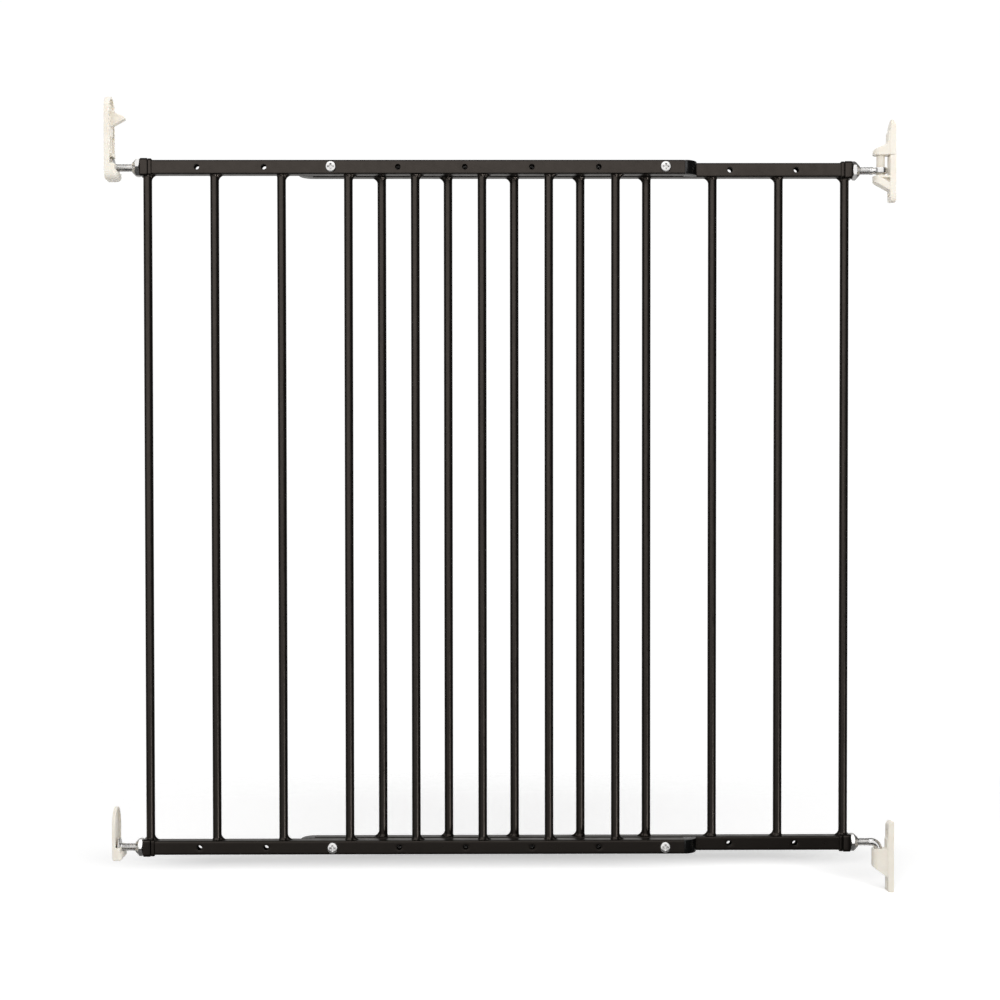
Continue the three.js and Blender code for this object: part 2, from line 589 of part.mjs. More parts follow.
const buildGate = () => {
  const gate = new THREE.Group();
  gate.name = 'gate';
  const middleZ = LOW_AXIS_Z + RAIL_SPACING / 2;
  const latchPanel = buildPanel('latch');
  latchPanel.position.set(LATCH_PANEL_X, FRONT_Y, middleZ);
  const hingePanel = buildPanel('hinge');
  hingePanel.position.set(HINGE_PANEL_X, 0, middleZ);
  hingePanel.rotation.z = Math.PI;
  gate.add(latchPanel, hingePanel);
  addScrews(gate);
  const latchNutX = LATCH_BAR_X - BLOCK_OUT - JOIN_GAP;
  const hingeNutX = HINGE_BAR_X + BLOCK_OUT + JOIN_GAP;
  gate.add(
    piece('upper_latch_bolt', latchBolt(discBackOf(UPPER_LATCH), TOP_AXIS_Z), ZINC),
    piece('lower_latch_bolt', latchBolt(discBackOf(LOWER_LATCH), LOW_AXIS_Z), ZINC),
    piece('hinge_eyebolt', eyeBolt(), ZINC),
    piece('hinge_bent_bolt', bentBolt(), ZINC),
    piece('upper_latch_lock_nut', lockNut(latchNutX, FRONT_Y, TOP_AXIS_Z, -1, FLATS_UP), ZINC),
    piece('lower_latch_lock_nut', lockNut(latchNutX, FRONT_Y, LOW_AXIS_Z, -1, FLATS_UP), ZINC),
    piece('upper_hinge_lock_nut', lockNut(hingeNutX, 0, TOP_AXIS_Z, 1, CORNER_UP), ZINC),
    piece('lower_hinge_lock_nut', lockNut(hingeNutX, 0, LOW_AXIS_Z, 1, FLATS_UP), ZINC),
    piece('eye_bush', eyeBush(), NYLON),
  );
  return gate;
};

const buildWallFittings = () => {
  const fittings = new THREE.Group();
  fittings.name = 'wall_fittings';
  const upperLatch = piece('upper_latch_bracket', cut(latchBracket(UPPER_LATCH), catchGrooves()), CREAM);
  const lowerLatch = piece('lower_latch_bracket', latchBracket(LOWER_LATCH), CREAM);
  const catchPiece = piece('latch_catch', latchCatch(), CREAM);
  upperLatch.position.set(UPPER_LATCH.wallX, FRONT_Y, UPPER_LATCH.axisZ);
  lowerLatch.position.set(LOWER_LATCH.wallX, FRONT_Y, LOWER_LATCH.axisZ);
  catchPiece.position.copy(upperLatch.position);
  fittings.add(
    upperLatch, lowerLatch, catchPiece,
    piece('upper_hinge_bracket', upperHingeBracket(), CREAM),
    piece('hinge_cap', hingeCap(), CREAM),
    piece('lower_hinge_bracket', lowerHingeBracket(), CREAM),
  );
  return fittings;
};

const safetyGate = new THREE.Group();
safetyGate.name = 'safety_gate';
safetyGate.add(buildGate(), buildWallFittings());

export default safetyGate;
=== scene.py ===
import math
import random

import bmesh
import bpy
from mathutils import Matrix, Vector


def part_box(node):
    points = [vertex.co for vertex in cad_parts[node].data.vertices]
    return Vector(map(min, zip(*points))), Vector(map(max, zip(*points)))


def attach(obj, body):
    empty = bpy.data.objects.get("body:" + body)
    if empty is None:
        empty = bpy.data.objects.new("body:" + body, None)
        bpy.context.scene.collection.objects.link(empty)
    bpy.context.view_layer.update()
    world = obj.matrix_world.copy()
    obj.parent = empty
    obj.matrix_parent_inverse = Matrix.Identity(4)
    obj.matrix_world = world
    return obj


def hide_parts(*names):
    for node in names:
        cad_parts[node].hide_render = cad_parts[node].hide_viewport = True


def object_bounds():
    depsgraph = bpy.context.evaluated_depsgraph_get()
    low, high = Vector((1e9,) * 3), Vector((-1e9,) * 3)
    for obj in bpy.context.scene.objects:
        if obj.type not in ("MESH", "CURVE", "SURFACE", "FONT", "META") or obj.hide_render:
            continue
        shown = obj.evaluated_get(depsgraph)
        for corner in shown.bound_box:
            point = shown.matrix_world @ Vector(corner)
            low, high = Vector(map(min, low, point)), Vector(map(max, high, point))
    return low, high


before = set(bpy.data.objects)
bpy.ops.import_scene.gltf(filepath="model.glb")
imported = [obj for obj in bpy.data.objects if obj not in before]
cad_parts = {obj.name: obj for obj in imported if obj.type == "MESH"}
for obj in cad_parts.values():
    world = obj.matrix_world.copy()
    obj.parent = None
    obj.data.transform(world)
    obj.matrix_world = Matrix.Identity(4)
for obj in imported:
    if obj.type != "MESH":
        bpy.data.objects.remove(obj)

# Looks for the wall-held safety gate. Shapes are in millimetres in the part's own frame: X along the gate,
# -Y to the front, Z up. Places come from the boxes of the CAD nodes.
MM = 0.001
TAU = 2 * math.pi
CAD_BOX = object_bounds()

# ---- sizes shared by several pieces, mm ----
RAIL = 14.5
RAIL_CORNER = 1.3
TUBE_WALL = 1.5
BAR_R = 4.5
PITCH = 69
BARS = 8
HOLE_TO_BAR = 17.6
HOLE_R = 2.65
BOLT_R = 4.0
THREAD_PITCH = 1.5
THREAD_DEPTH = 0.6
ACROSS_FLATS = 17.3
PIN_AXIS_X = -15.0

# ---- mesh helpers: every part is (points, faces) in mm until it becomes an object ----


def new_object(name, part):
    """A mesh object from points in mm and faces, with its faces pointing out."""
    points, faces = part
    mesh = bpy.data.meshes.new(name)
    mesh.from_pydata([[c * MM for c in p] for p in points], [], faces)
    work = bmesh.new()
    work.from_mesh(mesh)
    bmesh.ops.remove_doubles(work, verts=work.verts, dist=1e-7)
    bmesh.ops.recalc_face_normals(work, faces=work.faces)
    work.to_mesh(mesh)
    work.free()
    obj = bpy.data.objects.new(name, mesh)
    bpy.context.scene.collection.objects.link(obj)
    return obj


def bake(obj):
    """Applies the object's modifiers to its mesh."""
    graph = bpy.context.evaluated_depsgraph_get()
    mesh = bpy.data.meshes.new_from_object(obj.evaluated_get(graph))
    obj.modifiers.clear()
    obj.data = mesh


def bridge(first, second, count):
    """Quads between two loops of points that start at these indices."""
    return [(first + j, first + (j + 1) % count, second + (j + 1) % count, second + j) for j in range(count)]


def loft(rings, closed=False):
    """A skin over rings of equal length. Its ends are capped, or joined to each other when it is closed."""
    count = len(rings[0])
    points = [p for ring in rings for p in ring]
    faces = []
    for i in range(len(rings) - 1):
        faces += bridge(i * count, (i + 1) * count, count)
    last = (len(rings) - 1) * count
    if closed:
        faces += bridge(last, 0, count)
    else:
        faces += [tuple(reversed(range(count))), tuple(range(last, last + count))]
    return points, faces


def rounded(corners, steps=6):
    """Outline points. A corner (u, v, reach) is rounded by an arc that starts reach before it."""
    points = []
    for i, corner in enumerate(corners):
        here = Vector(corner[:2])
        reach = corner[2] if len(corner) > 2 else 0
        if reach == 0:
            points.append((here.x, here.y))
            continue
        before = (Vector(corners[i - 1][:2]) - here).normalized()
        after = (Vector(corners[(i + 1) % len(corners)][:2]) - here).normalized()
        half = before.angle(after) / 2
        centre = here + (before + after).normalized() * reach / math.cos(half)
        start = here + before * reach - centre
        end = here + after * reach - centre
        radius = start.length
        first = math.atan2(start.y, start.x)
        sweep = (math.atan2(end.y, end.x) - first + math.pi) % TAU - math.pi
        for s in range(steps + 1):
            angle = first + sweep * s / steps
            points.append((centre.x + radius * math.cos(angle), centre.y + radius * math.sin(angle)))
    return points


PLACE = {
    "x": lambda t, u, v: (t, u, v),
    "y": lambda t, u, v: (u, t, v),
    "z": lambda t, u, v: (u, v, t),
}


def prism(axis, outline, start, end):
    """An outline pulled along an axis. It is drawn as (y, z), (x, z) or (x, y)."""
    return loft([[PLACE[axis](t, u, v) for u, v in outline] for t in (start, end)])


def block(x0, x1, y0, y1, z0, z1):
    return prism("x", [(y0, z0), (y1, z0), (y1, z1), (y0, z1)], x0, x1)


def turned(axis, centre, stations, sides, closed=False):
    """A turned solid. A station is (distance along the axis, radius); a radius may be a function of angle."""
    rings = []
    for t, radius in stations:
        ring = []
        for j in range(sides):
            angle = TAU * j / sides
            r = radius(angle) if callable(radius) else radius
            u = centre[0] + r * math.cos(angle)
            v = centre[1] + r * math.sin(angle)
            ring.append(PLACE[axis](t, u, v))
        rings.append(ring)
    return loft(rings, closed)


def rod(axis, centre, radius, start, end, sides=40, end_radius=None):
    """A round rod, or a cone when its end has its own radius."""
    if end_radius is None:
        end_radius = radius
    return turned(axis, centre, [(start, radius), (end, end_radius)], sides)


def moved(part, dx=0.0, dy=0.0, dz=0.0):
    points, faces = part
    return [(x + dx, y + dy, z + dz) for x, y, z in points], faces


def carved(name, first, add=(), cut=()):
    """One solid from boolean unions and cuts."""
    obj = new_object(name, first)
    helpers = []
    for operation, parts in (("UNION", add), ("DIFFERENCE", cut)):
        for part in parts:
            helper = new_object("helper", part)
            helpers.append(helper)
            modifier = obj.modifiers.new("cut", "BOOLEAN")
            modifier.operation = operation
            modifier.solver = "EXACT"
            modifier.object = helper
    bake(obj)
    for helper in helpers:
        bpy.data.objects.remove(helper)
    return obj


def soften(obj, voxel, rounds, keep):
    """Rounds every edge as moulding or forging does: a fine remesh, smoothed, thinned where it is flat."""
    remesh = obj.modifiers.new("remesh", "REMESH")
    remesh.mode = "VOXEL"
    remesh.voxel_size = voxel * MM
    smooth = obj.modifiers.new("smooth", "SMOOTH")
    smooth.factor = 0.5
    smooth.iterations = rounds
    thin = obj.modifiers.new("thin", "DECIMATE")
    thin.ratio = keep
    bake(obj)


def bevel(obj, width, segments=3, angle=40):
    modifier = obj.modifiers.new("bevel", "BEVEL")
    modifier.width = width * MM
    modifier.segments = segments
    modifier.limit_method = "ANGLE"
    modifier.angle_limit = math.radians(angle)
    bake(obj)


def dress(obj, material, body, slot_name, *nodes, sharp=None):
    """Material, shading, body and the CAD nodes that this piece stands for, which it hides. slot_name is not
    used.
    """
    obj.data.materials.clear()
    obj.data.materials.append(material)
    obj.data.shade_smooth()
    if sharp:
        obj.data.set_sharp_from_angle(angle=math.radians(sharp))
    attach(obj, body)
    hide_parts(*nodes)


def node_box(name):
    """Lowest and highest corner of a CAD node in mm."""
    low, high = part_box(name)
    return Vector(low) / MM, Vector(high) / MM


def node_middle(name):
    low, high = node_box(name)
    return (low + high) / 2


# ---- materials ----


class Finish:
    """A procedural material: a Principled surface whose textures follow the object in metres."""

    def __init__(self, name, roughness, metallic=0.0, specular=0.5):
        self.material = bpy.data.materials.new(name)
        self.material.use_nodes = True
        self.tree = self.material.node_tree
        self.surface = self.tree.nodes["Principled BSDF"]
        self.surface.inputs["Roughness"].default_value = roughness
        self.surface.inputs["Metallic"].default_value = metallic
        self.surface.inputs["Specular IOR Level"].default_value = specular
        self.place = self.tree.nodes.new("ShaderNodeTexCoord").outputs["Object"]

    def link(self, output, target):
        self.tree.links.new(output, target)

    def noise(self, size, detail=2.0, stretch=(1, 1, 1)):
        """Noise whose features are about size mm, stretched along the axes by these factors."""
        mapping = self.tree.nodes.new("ShaderNodeMapping")
        mapping.inputs["Scale"].default_value = [1 / s for s in stretch]
        self.link(self.place, mapping.inputs["Vector"])
        node = self.tree.nodes.new("ShaderNodeTexNoise")
        node.inputs["Scale"].default_value = 1 / (size * MM)
        node.inputs["Detail"].default_value = detail
        self.link(mapping.outputs["Vector"], node.inputs["Vector"])
        return node.outputs["Fac"]

    def pointiness(self):
        return self.tree.nodes.new("ShaderNodeNewGeometry").outputs["Pointiness"]

    def span(self, value, low, high, to_low=0.0, to_high=1.0):
        """A value between low and high, stretched to lie between two others."""
        node = self.tree.nodes.new("ShaderNodeMapRange")
        sockets = (("From Min", low), ("From Max", high), ("To Min", to_low), ("To Max", to_high))
        for socket, number in sockets:
            node.inputs[socket].default_value = number
        self.link(value, node.inputs["Value"])
        return node.outputs["Result"]

    def blend(self, share, first, second):
        """Colour between two, each a colour or an output."""
        node = self.tree.nodes.new("ShaderNodeMix")
        node.data_type = "RGBA"
        self.link(share, node.inputs["Factor"])
        for socket, colour in ((node.inputs[6], first), (node.inputs[7], second)):
            if isinstance(colour, tuple):
                socket.default_value = (*colour, 1)
            else:
                self.link(colour, socket)
        return node.outputs[2]

    def colour(self, output):
        self.link(output, self.surface.inputs["Base Color"])

    def roughness(self, output):
        self.link(output, self.surface.inputs["Roughness"])

    def bumps(self, *layers):
        """Bump layers, each (height output, depth in mm)."""
        normal = None
        for height, depth in layers:
            node = self.tree.nodes.new("ShaderNodeBump")
            node.inputs["Strength"].default_value = 1.0
            node.inputs["Distance"].default_value = depth * MM
            self.link(height, node.inputs["Height"])
            if normal:
                self.link(normal, node.inputs["Normal"])
            normal = node.outputs["Normal"]
        self.link(normal, self.surface.inputs["Normal"])


def powder_coat():
    """Satin brown-black powder coat on steel: orange peel, slow tone drift, slightly rubbed edges."""
    coat = Finish("powder_coat", roughness=0.31, specular=0.47)
    coat.surface.inputs["Specular Tint"].default_value = (1.0, 0.86, 0.76, 1)
    drift = coat.span(coat.noise(60, detail=3), 0.35, 0.65)
    speck = coat.span(coat.noise(0.5, detail=1), 0.45, 0.75)
    tone = coat.blend(drift, (0.0044, 0.0038, 0.0033), (0.0058, 0.0050, 0.0043))
    tone = coat.blend(coat.span(speck, 0, 1, 0, 0.35), tone, (0.012, 0.0105, 0.0093))
    edge = coat.span(coat.pointiness(), 0.53, 0.62, 0, 0.35)
    coat.colour(coat.blend(edge, tone, (0.022, 0.0195, 0.0175)))
    coat.roughness(coat.span(coat.noise(9, detail=4), 0.3, 0.7, 0.27, 0.36))
    coat.bumps((coat.noise(1.3, detail=1), 0.010), (coat.noise(0.35, detail=1), 0.003))
    return coat.material


def gloss_plastic():
    """Glossy black end plugs with a faint flow line texture and fine scuffs."""
    plastic = Finish("black_plug_plastic", roughness=0.22)
    drift = plastic.span(plastic.noise(8, detail=3), 0.35, 0.65)
    scuff = plastic.span(plastic.noise(0.6, detail=3, stretch=(9, 1, 1)), 0.62, 0.75, 0, 0.5)
    tone = plastic.blend(drift, (0.006, 0.006, 0.006), (0.010, 0.0098, 0.0095))
    plastic.colour(plastic.blend(scuff, tone, (0.03, 0.03, 0.03)))
    plastic.roughness(plastic.span(plastic.noise(5, detail=4), 0.3, 0.7, 0.16, 0.32))
    plastic.bumps((plastic.noise(2.5, detail=2), 0.01), (plastic.noise(0.3, detail=1), 0.002))
    return plastic.material


def zinc_plate():
    """Bright zinc plate: faintly cloudy tint, fine scratches, and painted shade that darkens the corners and
    thread roots.
    """
    zinc = Finish("zinc_plate", roughness=0.3, metallic=1.0)
    cloud = zinc.span(zinc.noise(6, detail=2), 0.35, 0.65)
    tone = zinc.blend(cloud, (0.70, 0.695, 0.69), (0.80, 0.79, 0.775))
    # Painted shade: hollows such as thread roots and inside corners get a dark colour in place of occlusion
    # shade.
    painted_root_shade = zinc.span(zinc.pointiness(), 0.36, 0.48, 0.7, 0)
    tone = zinc.blend(painted_root_shade, tone, (0.22, 0.21, 0.195))
    crest = zinc.span(zinc.pointiness(), 0.56, 0.70, 0, 0.5)
    zinc.colour(zinc.blend(crest, tone, (0.90, 0.90, 0.89)))
    zinc.roughness(zinc.span(zinc.noise(2.2, detail=3), 0.3, 0.7, 0.20, 0.31))
    scratch = zinc.noise(0.25, detail=2, stretch=(1, 14, 1))
    zinc.bumps((zinc.noise(1.6, detail=1), 0.004), (scratch, 0.0012))
    return zinc.material


def cream_plastic():
    """Warm white moulded plastic: slight glow under the surface, fine spark-eroded texture, faint specks, and
    painted warm shade in its creases.
    """
    cream = Finish("cream_plastic", roughness=0.46, specular=0.35)
    drift = cream.span(cream.noise(14, detail=3), 0.35, 0.65)
    speck = cream.span(cream.noise(0.7, detail=2), 0.60, 0.78, 0, 0.35)
    tone = cream.blend(drift, (0.845, 0.795, 0.705), (0.875, 0.835, 0.755))
    tone = cream.blend(speck, tone, (0.70, 0.61, 0.48))
    edge = cream.span(cream.pointiness(), 0.52, 0.60, 0, 0.5)
    tone = cream.blend(edge, tone, (0.91, 0.88, 0.81))
    # Painted shade: creases and recesses get a darker, warmer colour in place of the shade and bounce light
    # that falls there.
    painted_crease_shade = cream.span(cream.pointiness(), 0.42, 0.49, 0.5, 0)
    cream.colour(cream.blend(painted_crease_shade, tone, (0.72, 0.64, 0.52)))
    cream.roughness(cream.span(cream.noise(4, detail=4), 0.3, 0.7, 0.40, 0.54))
    cream.bumps((cream.noise(0.9, detail=2), 0.012), (cream.noise(0.22, detail=1), 0.005))
    surface = cream.surface
    surface.inputs["Specular Tint"].default_value = (1.0, 0.90, 0.78, 1)
    surface.inputs["Subsurface Weight"].default_value = 0.12
    surface.inputs["Subsurface Radius"].default_value = (0.0018, 0.0014, 0.0010)
    surface.inputs["Subsurface Scale"].default_value = 1.0
    return cream.material


def nylon():
    """Milky nylon bush."""
    bush = Finish("milky_nylon", roughness=0.38)
    drift = bush.span(bush.noise(2.5, detail=3), 0.35, 0.65)
    bush.colour(bush.blend(drift, (0.66, 0.65, 0.61), (0.74, 0.73, 0.69)))
    bush.roughness(bush.span(bush.noise(1.2, detail=3), 0.3, 0.7, 0.30, 0.46))
    bush.bumps((bush.noise(0.5, detail=2), 0.006))
    bush.surface.inputs["Subsurface Weight"].default_value = 0.3
    bush.surface.inputs["Subsurface Radius"].default_value = (0.0015, 0.0015, 0.0014)
    return bush.material


COAT = powder_coat()
PLUG = gloss_plastic()
ZINC = zinc_plate()
CREAM = cream_plastic()
NYLON = nylon()


# ---- panel frame ----


def panel(prefix):
    """Where a panel stands: the x of its bars in order, and the direction from its first bar to its last."""
    direction = 1 if prefix == "latch" else -1
    xs = []
    for i in range(1, BARS + 1):
        low, high = node_box(f"{prefix}_bar_{i}")
        xs.append(low.x + BAR_R if direction > 0 else high.x - BAR_R)
    return direction, xs


CORNER_STEPS = 4
GRID = 8


def tube_ring(half, corner):
    """Section of the rail as (y, z): GRID steps across the front and the back, arcs at the corners."""
    flat = half - corner

    def arc(cy, cz, first):
        turn = math.pi / 2 / CORNER_STEPS
        return [
            (cy + corner * math.cos(first - turn * s), cz + corner * math.sin(first - turn * s))
            for s in range(1, CORNER_STEPS)
        ]

    rise = [-flat + 2 * flat * k / GRID for k in range(GRID + 1)]
    front = [(-half, z) for z in rise]
    back = [(half, z) for z in reversed(rise)]
    return (
        front + arc(-flat, flat, math.pi) + [(-flat, half), (flat, half)] + arc(flat, flat, math.pi / 2)
        + back + arc(flat, -flat, 0) + [(flat, -half), (-flat, -half)] + arc(-flat, -flat, -math.pi / 2)
    )


BACK_START = GRID + 1 + 2 * (CORNER_STEPS - 1) + 2


def shell(length_from, length_to, holes, half, corner):
    """Rail skin with a square window in front and back at each hole. Windows are loops of point indices."""
    section = tube_ring(half, corner)
    count = len(section)
    flat = half - corner
    stations = [length_from]
    windows = []
    for hole in sorted(holes):
        windows.append(len(stations))
        stations += [hole - flat + 2 * flat * k / GRID for k in range(GRID + 1)]
    stations.append(length_to)
    points = [(x, y, z) for x in stations for y, z in section]
    skip = set()
    for first in windows:
        for column in range(first, first + GRID):
            skip.update((column, k) for k in range(GRID))
            skip.update((column, BACK_START + k) for k in range(GRID))
    faces = []
    for i in range(len(stations) - 1):
        for j in range(count):
            if (i, j) not in skip:
                k = (j + 1) % count
                faces.append((i * count + j, i * count + k, (i + 1) * count + k, (i + 1) * count + j))

    def window(first, start, order):
        """Points round a window, from its low x, low z corner: along x, up, back and down."""
        def at(column, row):
            return (first + column) * count + start + order(row)

        loop = [at(k, 0) for k in range(GRID)] + [at(GRID, k) for k in range(GRID)]
        loop += [at(GRID - k, GRID) for k in range(GRID)] + [at(0, GRID - k) for k in range(GRID)]
        return loop

    fronts = [window(first, 0, lambda row: row) for first in windows]
    backs = [window(first, BACK_START, lambda row: GRID - row) for first in windows]
    return points, faces, count, len(stations), fronts, backs


# Rolled rim of a hole as (radius, depth below the face).
HOLE_LIP = [
    (HOLE_R + 0.45, 0.0), (HOLE_R + 0.2, 0.05), (HOLE_R + 0.06, 0.18), (HOLE_R, 0.4), (HOLE_R, TUBE_WALL),
]
INNER_CORNER = 0.5


def rail(x_from, x_to, holes, y, z):
    """Square steel tube with round corners and a row of through holes with rolled, coated rims."""
    half = RAIL / 2
    inner_half = half - TUBE_WALL
    points, faces, count, stations, fronts, backs = shell(x_from, x_to, holes, half, RAIL_CORNER)
    skin = shell(x_from, x_to, holes, inner_half, INNER_CORNER)
    inner, inner_faces, _, _, inner_fronts, inner_backs = skin
    shift = len(points)
    points = points + inner
    faces = faces + [tuple(shift + k for k in face) for face in inner_faces]
    last = (stations - 1) * count
    faces += bridge(0, shift, count) + bridge(last, shift + last, count)
    around = 4 * GRID
    sets = ((-1, fronts, inner_fronts), (1, backs, inner_backs))
    for side, outer_loops, inner_loops in sets:
        for hole, outer_loop, inner_loop in zip(sorted(holes), outer_loops, inner_loops):
            previous = outer_loop
            for radius, depth in HOLE_LIP:
                start = len(points)
                level = side * (half - depth)
                for k in range(around):
                    angle = TAU * k / around - 3 * math.pi / 4
                    points.append((hole + radius * math.cos(angle), level, radius * math.sin(angle)))
                ring = list(range(start, start + around))
                faces += join_loops(previous, ring)
                previous = ring
            faces += join_loops(previous, [shift + k for k in inner_loop])
    return moved((points, faces), dy=y, dz=z)


def join_loops(first, second):
    """Quads between two loops of point indices."""
    count = len(first)
    return [(first[k], first[(k + 1) % count], second[(k + 1) % count], second[k]) for k in range(count)]


def square_ring(half, corner, per_side=10, per_corner=6):
    """A rounded square as (u, v) points, starting halfway along its +u side."""
    flat = half - corner
    ring = []
    for quarter in range(4):
        base = quarter * math.pi / 2
        local = [(half, -flat + 2 * flat * k / per_side) for k in range(per_side)]
        for s in range(per_corner):
            angle = math.pi / 2 * s / per_corner
            local.append((flat + corner * math.cos(angle), flat + corner * math.sin(angle)))
        for u, v in local:
            ring.append((u * math.cos(base) - v * math.sin(base), u * math.sin(base) + v * math.cos(base)))
    return ring


def circle_like(ring, radius):
    """Points on a circle in the same directions as a ring's points."""
    return [(radius * u / math.hypot(u, v), radius * v / math.hypot(u, v)) for u, v in ring]


BLOCK_LENGTH = 12.2
GROOVE_AT = 8.2
SPIGOT = 14.0


def rib_profile(start, end, low, proud, first, last, steps=5):
    """Half heights of a rib as (distance, half height). Its rounded shoulders reach first and last in."""
    flat = RAIL / 2
    rows = []
    for s in range(steps + 1):
        angle = math.pi / 2 * s / steps
        rows.append((start + first * (1 - math.cos(angle)), flat + low + (proud - low) * math.sin(angle)))
    for s in range(steps, -1, -1):
        angle = math.pi / 2 * s / steps
        rows.append((end - last * (1 - math.cos(angle)), flat + low + (proud - low) * math.sin(angle)))
    return rows


def end_block(x_outer, direction, y, z):
    """Ribbed rail end: two rounded ribs, a bolt hole in the outer face and a spigot in the tube."""
    rows = rib_profile(0, GROOVE_AT, 0.2, 1.8, 1.6, 0.35)
    rows += rib_profile(GROOVE_AT + 0.5, BLOCK_LENGTH, 0.7, 1.45, 0.35, 0.7)
    base = square_ring(RAIL / 2, 2.0)
    sections = [(6.0, circle_like(base, 0.01)), (6.0, circle_like(base, BOLT_R + 0.2))]
    sections += [(0.4, circle_like(base, BOLT_R + 0.2)), (0.0, circle_like(base, BOLT_R + 0.6))]
    sections += [(t, square_ring(half, 2.2)) for t, half in rows]
    inner = RAIL / 2 - TUBE_WALL - 0.2
    sections += [(BLOCK_LENGTH, square_ring(inner, 0.6)), (BLOCK_LENGTH + SPIGOT, square_ring(inner, 0.6))]
    rings = [[(x_outer + direction * t, y + u, z + v) for u, v in ring] for t, ring in sections]
    return loft(rings)


PLUG_LENGTH = 14.3
PANEL_GAP = 4.0


def guide_plug(x_rail_end, direction, y, z):
    """Rail plug that curves over to the other panel, drawn in plan and pulled up, then bevelled."""
    start = 0.2
    bend = PLUG_LENGTH - start
    front = -RAIL / 2
    back = RAIL / 2 + PANEL_GAP - 0.2
    depth = back - front - 0.5
    plan = [(start, back), (start, front)]
    steps = 16
    for i in range(1, steps + 1):
        angle = math.pi / 2 * i / steps
        plan.append((start + bend * math.sin(angle), front + depth * (1 - math.cos(angle))))
    plan.append((PLUG_LENGTH, back))
    placed = [(x_rail_end + direction * u, y + direction * v) for u, v in plan]
    return prism("z", placed, z - RAIL / 2 + 0.1, z + RAIL / 2 - 0.1)


WELD_REACH = 5.0
WELD_RISE = 6.0
COLLAR_RISE = 2.6


def bar(x, y, low, high, direction, seed):
    """Round bar whose ends swell into a weld: a collar with ripples and a fillet on one side."""
    chance = random.Random(seed)
    phase = chance.uniform(0, TAU)
    facing = 0 if direction > 0 else math.pi
    steps = [0, 0.25, 0.6, 1.0, 1.4, 1.8, 2.2, 2.6, 3.1, 3.7, 4.4, 5.2, 6.0, 7.0]

    def radius_at(depth, end):
        def radius(angle):
            turn = (angle - facing + math.pi) % TAU - math.pi
            lobe = max(0.0, math.cos(turn * 2.1)) ** 1.3 if abs(turn) < 0.75 else 0.0
            rise = max(0.0, 1 - depth / WELD_RISE)
            fillet = (WELD_REACH - 0.4) * rise ** 1.9 * lobe
            ripple = 0.7 + 0.3 * math.sin(7 * angle + phase + end) * math.cos(2.3 * depth + phase)
            collar = 1.1 * max(0.0, 1 - depth / COLLAR_RISE) ** 1.3 * ripple
            return BAR_R + fillet + collar
        return radius

    stations = [(low + depth, radius_at(depth, 0)) for depth in steps]
    stations += [(high - depth, radius_at(depth, 2)) for depth in reversed(steps)]
    return turned("z", (x, y), stations, 48)


def build_panel(prefix):
    direction, xs = panel(prefix)
    holes = [xs[0] + direction * (i * PITCH - HOLE_TO_BAR) for i in range(1, BARS + 1)]
    for level in ("top", "bottom"):
        node = f"{prefix}_{level}_rail"
        low, high = node_box(node)
        y, z = (low.y + high.y) / 2, (low.z + high.z) / 2
        tube = new_object(f"{node}_tube", rail(low.x, high.x, holes, y, z))
        dress(tube, COAT, "gate", "frame_coat", node, sharp=50)

        node = f"{prefix}_{level}_end_block"
        block_low, block_high = node_box(node)
        outer = block_low.x if direction > 0 else block_high.x
        cap = new_object(f"{node}_ribbed", end_block(outer, direction, y, z))
        dress(cap, COAT, "gate", "frame_coat", node, sharp=60)

        node = f"{prefix}_{level}_guide_plug"
        rail_end = high.x if direction > 0 else low.x
        plug = new_object(f"{node}_curved", guide_plug(rail_end, direction, y, z))
        bevel(plug, 0.7)
        dress(plug, PLUG, "gate", "black_plastic", node, sharp=60)
    top = node_box(f"{prefix}_top_rail")[0].z
    bottom = node_box(f"{prefix}_bottom_rail")[1].z
    for i, x in enumerate(xs, 1):
        node = f"{prefix}_bar_{i}"
        y = node_middle(node).y
        upright = new_object(f"{node}_welded", bar(x, y, bottom, top, direction, f"{prefix} {i}"))
        dress(upright, COAT, "gate", "frame_coat", node, sharp=70)


# ---- fasteners ----
TIP_CHAMFER = 0.6                 # a bolt's thread starts this far from its end


def thread(t, run_in=None):
    """Radius of a rolled thread at t along the axis, as a function of angle. It fades in over run_in."""
    fade = 1.0
    if run_in:
        start, full = run_in
        fade = min(1.0, max(0.0, (t - start) / (full - start)))

    def radius(angle):
        phase = (t / THREAD_PITCH - angle / TAU) % 1.0
        ridge = abs(2 * phase - 1)
        cut = min(1.0, max(0.0, (ridge - 0.12) / 0.74))
        return BOLT_R - THREAD_DEPTH * fade * cut
    return radius


def thread_stations(start, end, run_in=None, per_turn=8):
    """Stations of a threaded stretch for a turned solid."""
    steps = max(2, round(abs(end - start) / THREAD_PITCH * per_turn))
    places = [start + (end - start) * s / steps for s in range(steps + 1)]
    return [(t, thread(t, run_in)) for t in places]


def hexagon(across, turn=0.0):
    """Radius of a hexagon as a function of angle."""
    def radius(angle):
        sector = (angle - turn) % (math.pi / 3) - math.pi / 6
        return across / 2 / math.cos(sector)
    return radius


def clipped(shape, limit):
    """A radius that never passes the limit: a shape with its corners turned off."""
    return lambda angle: min(shape(angle), limit)


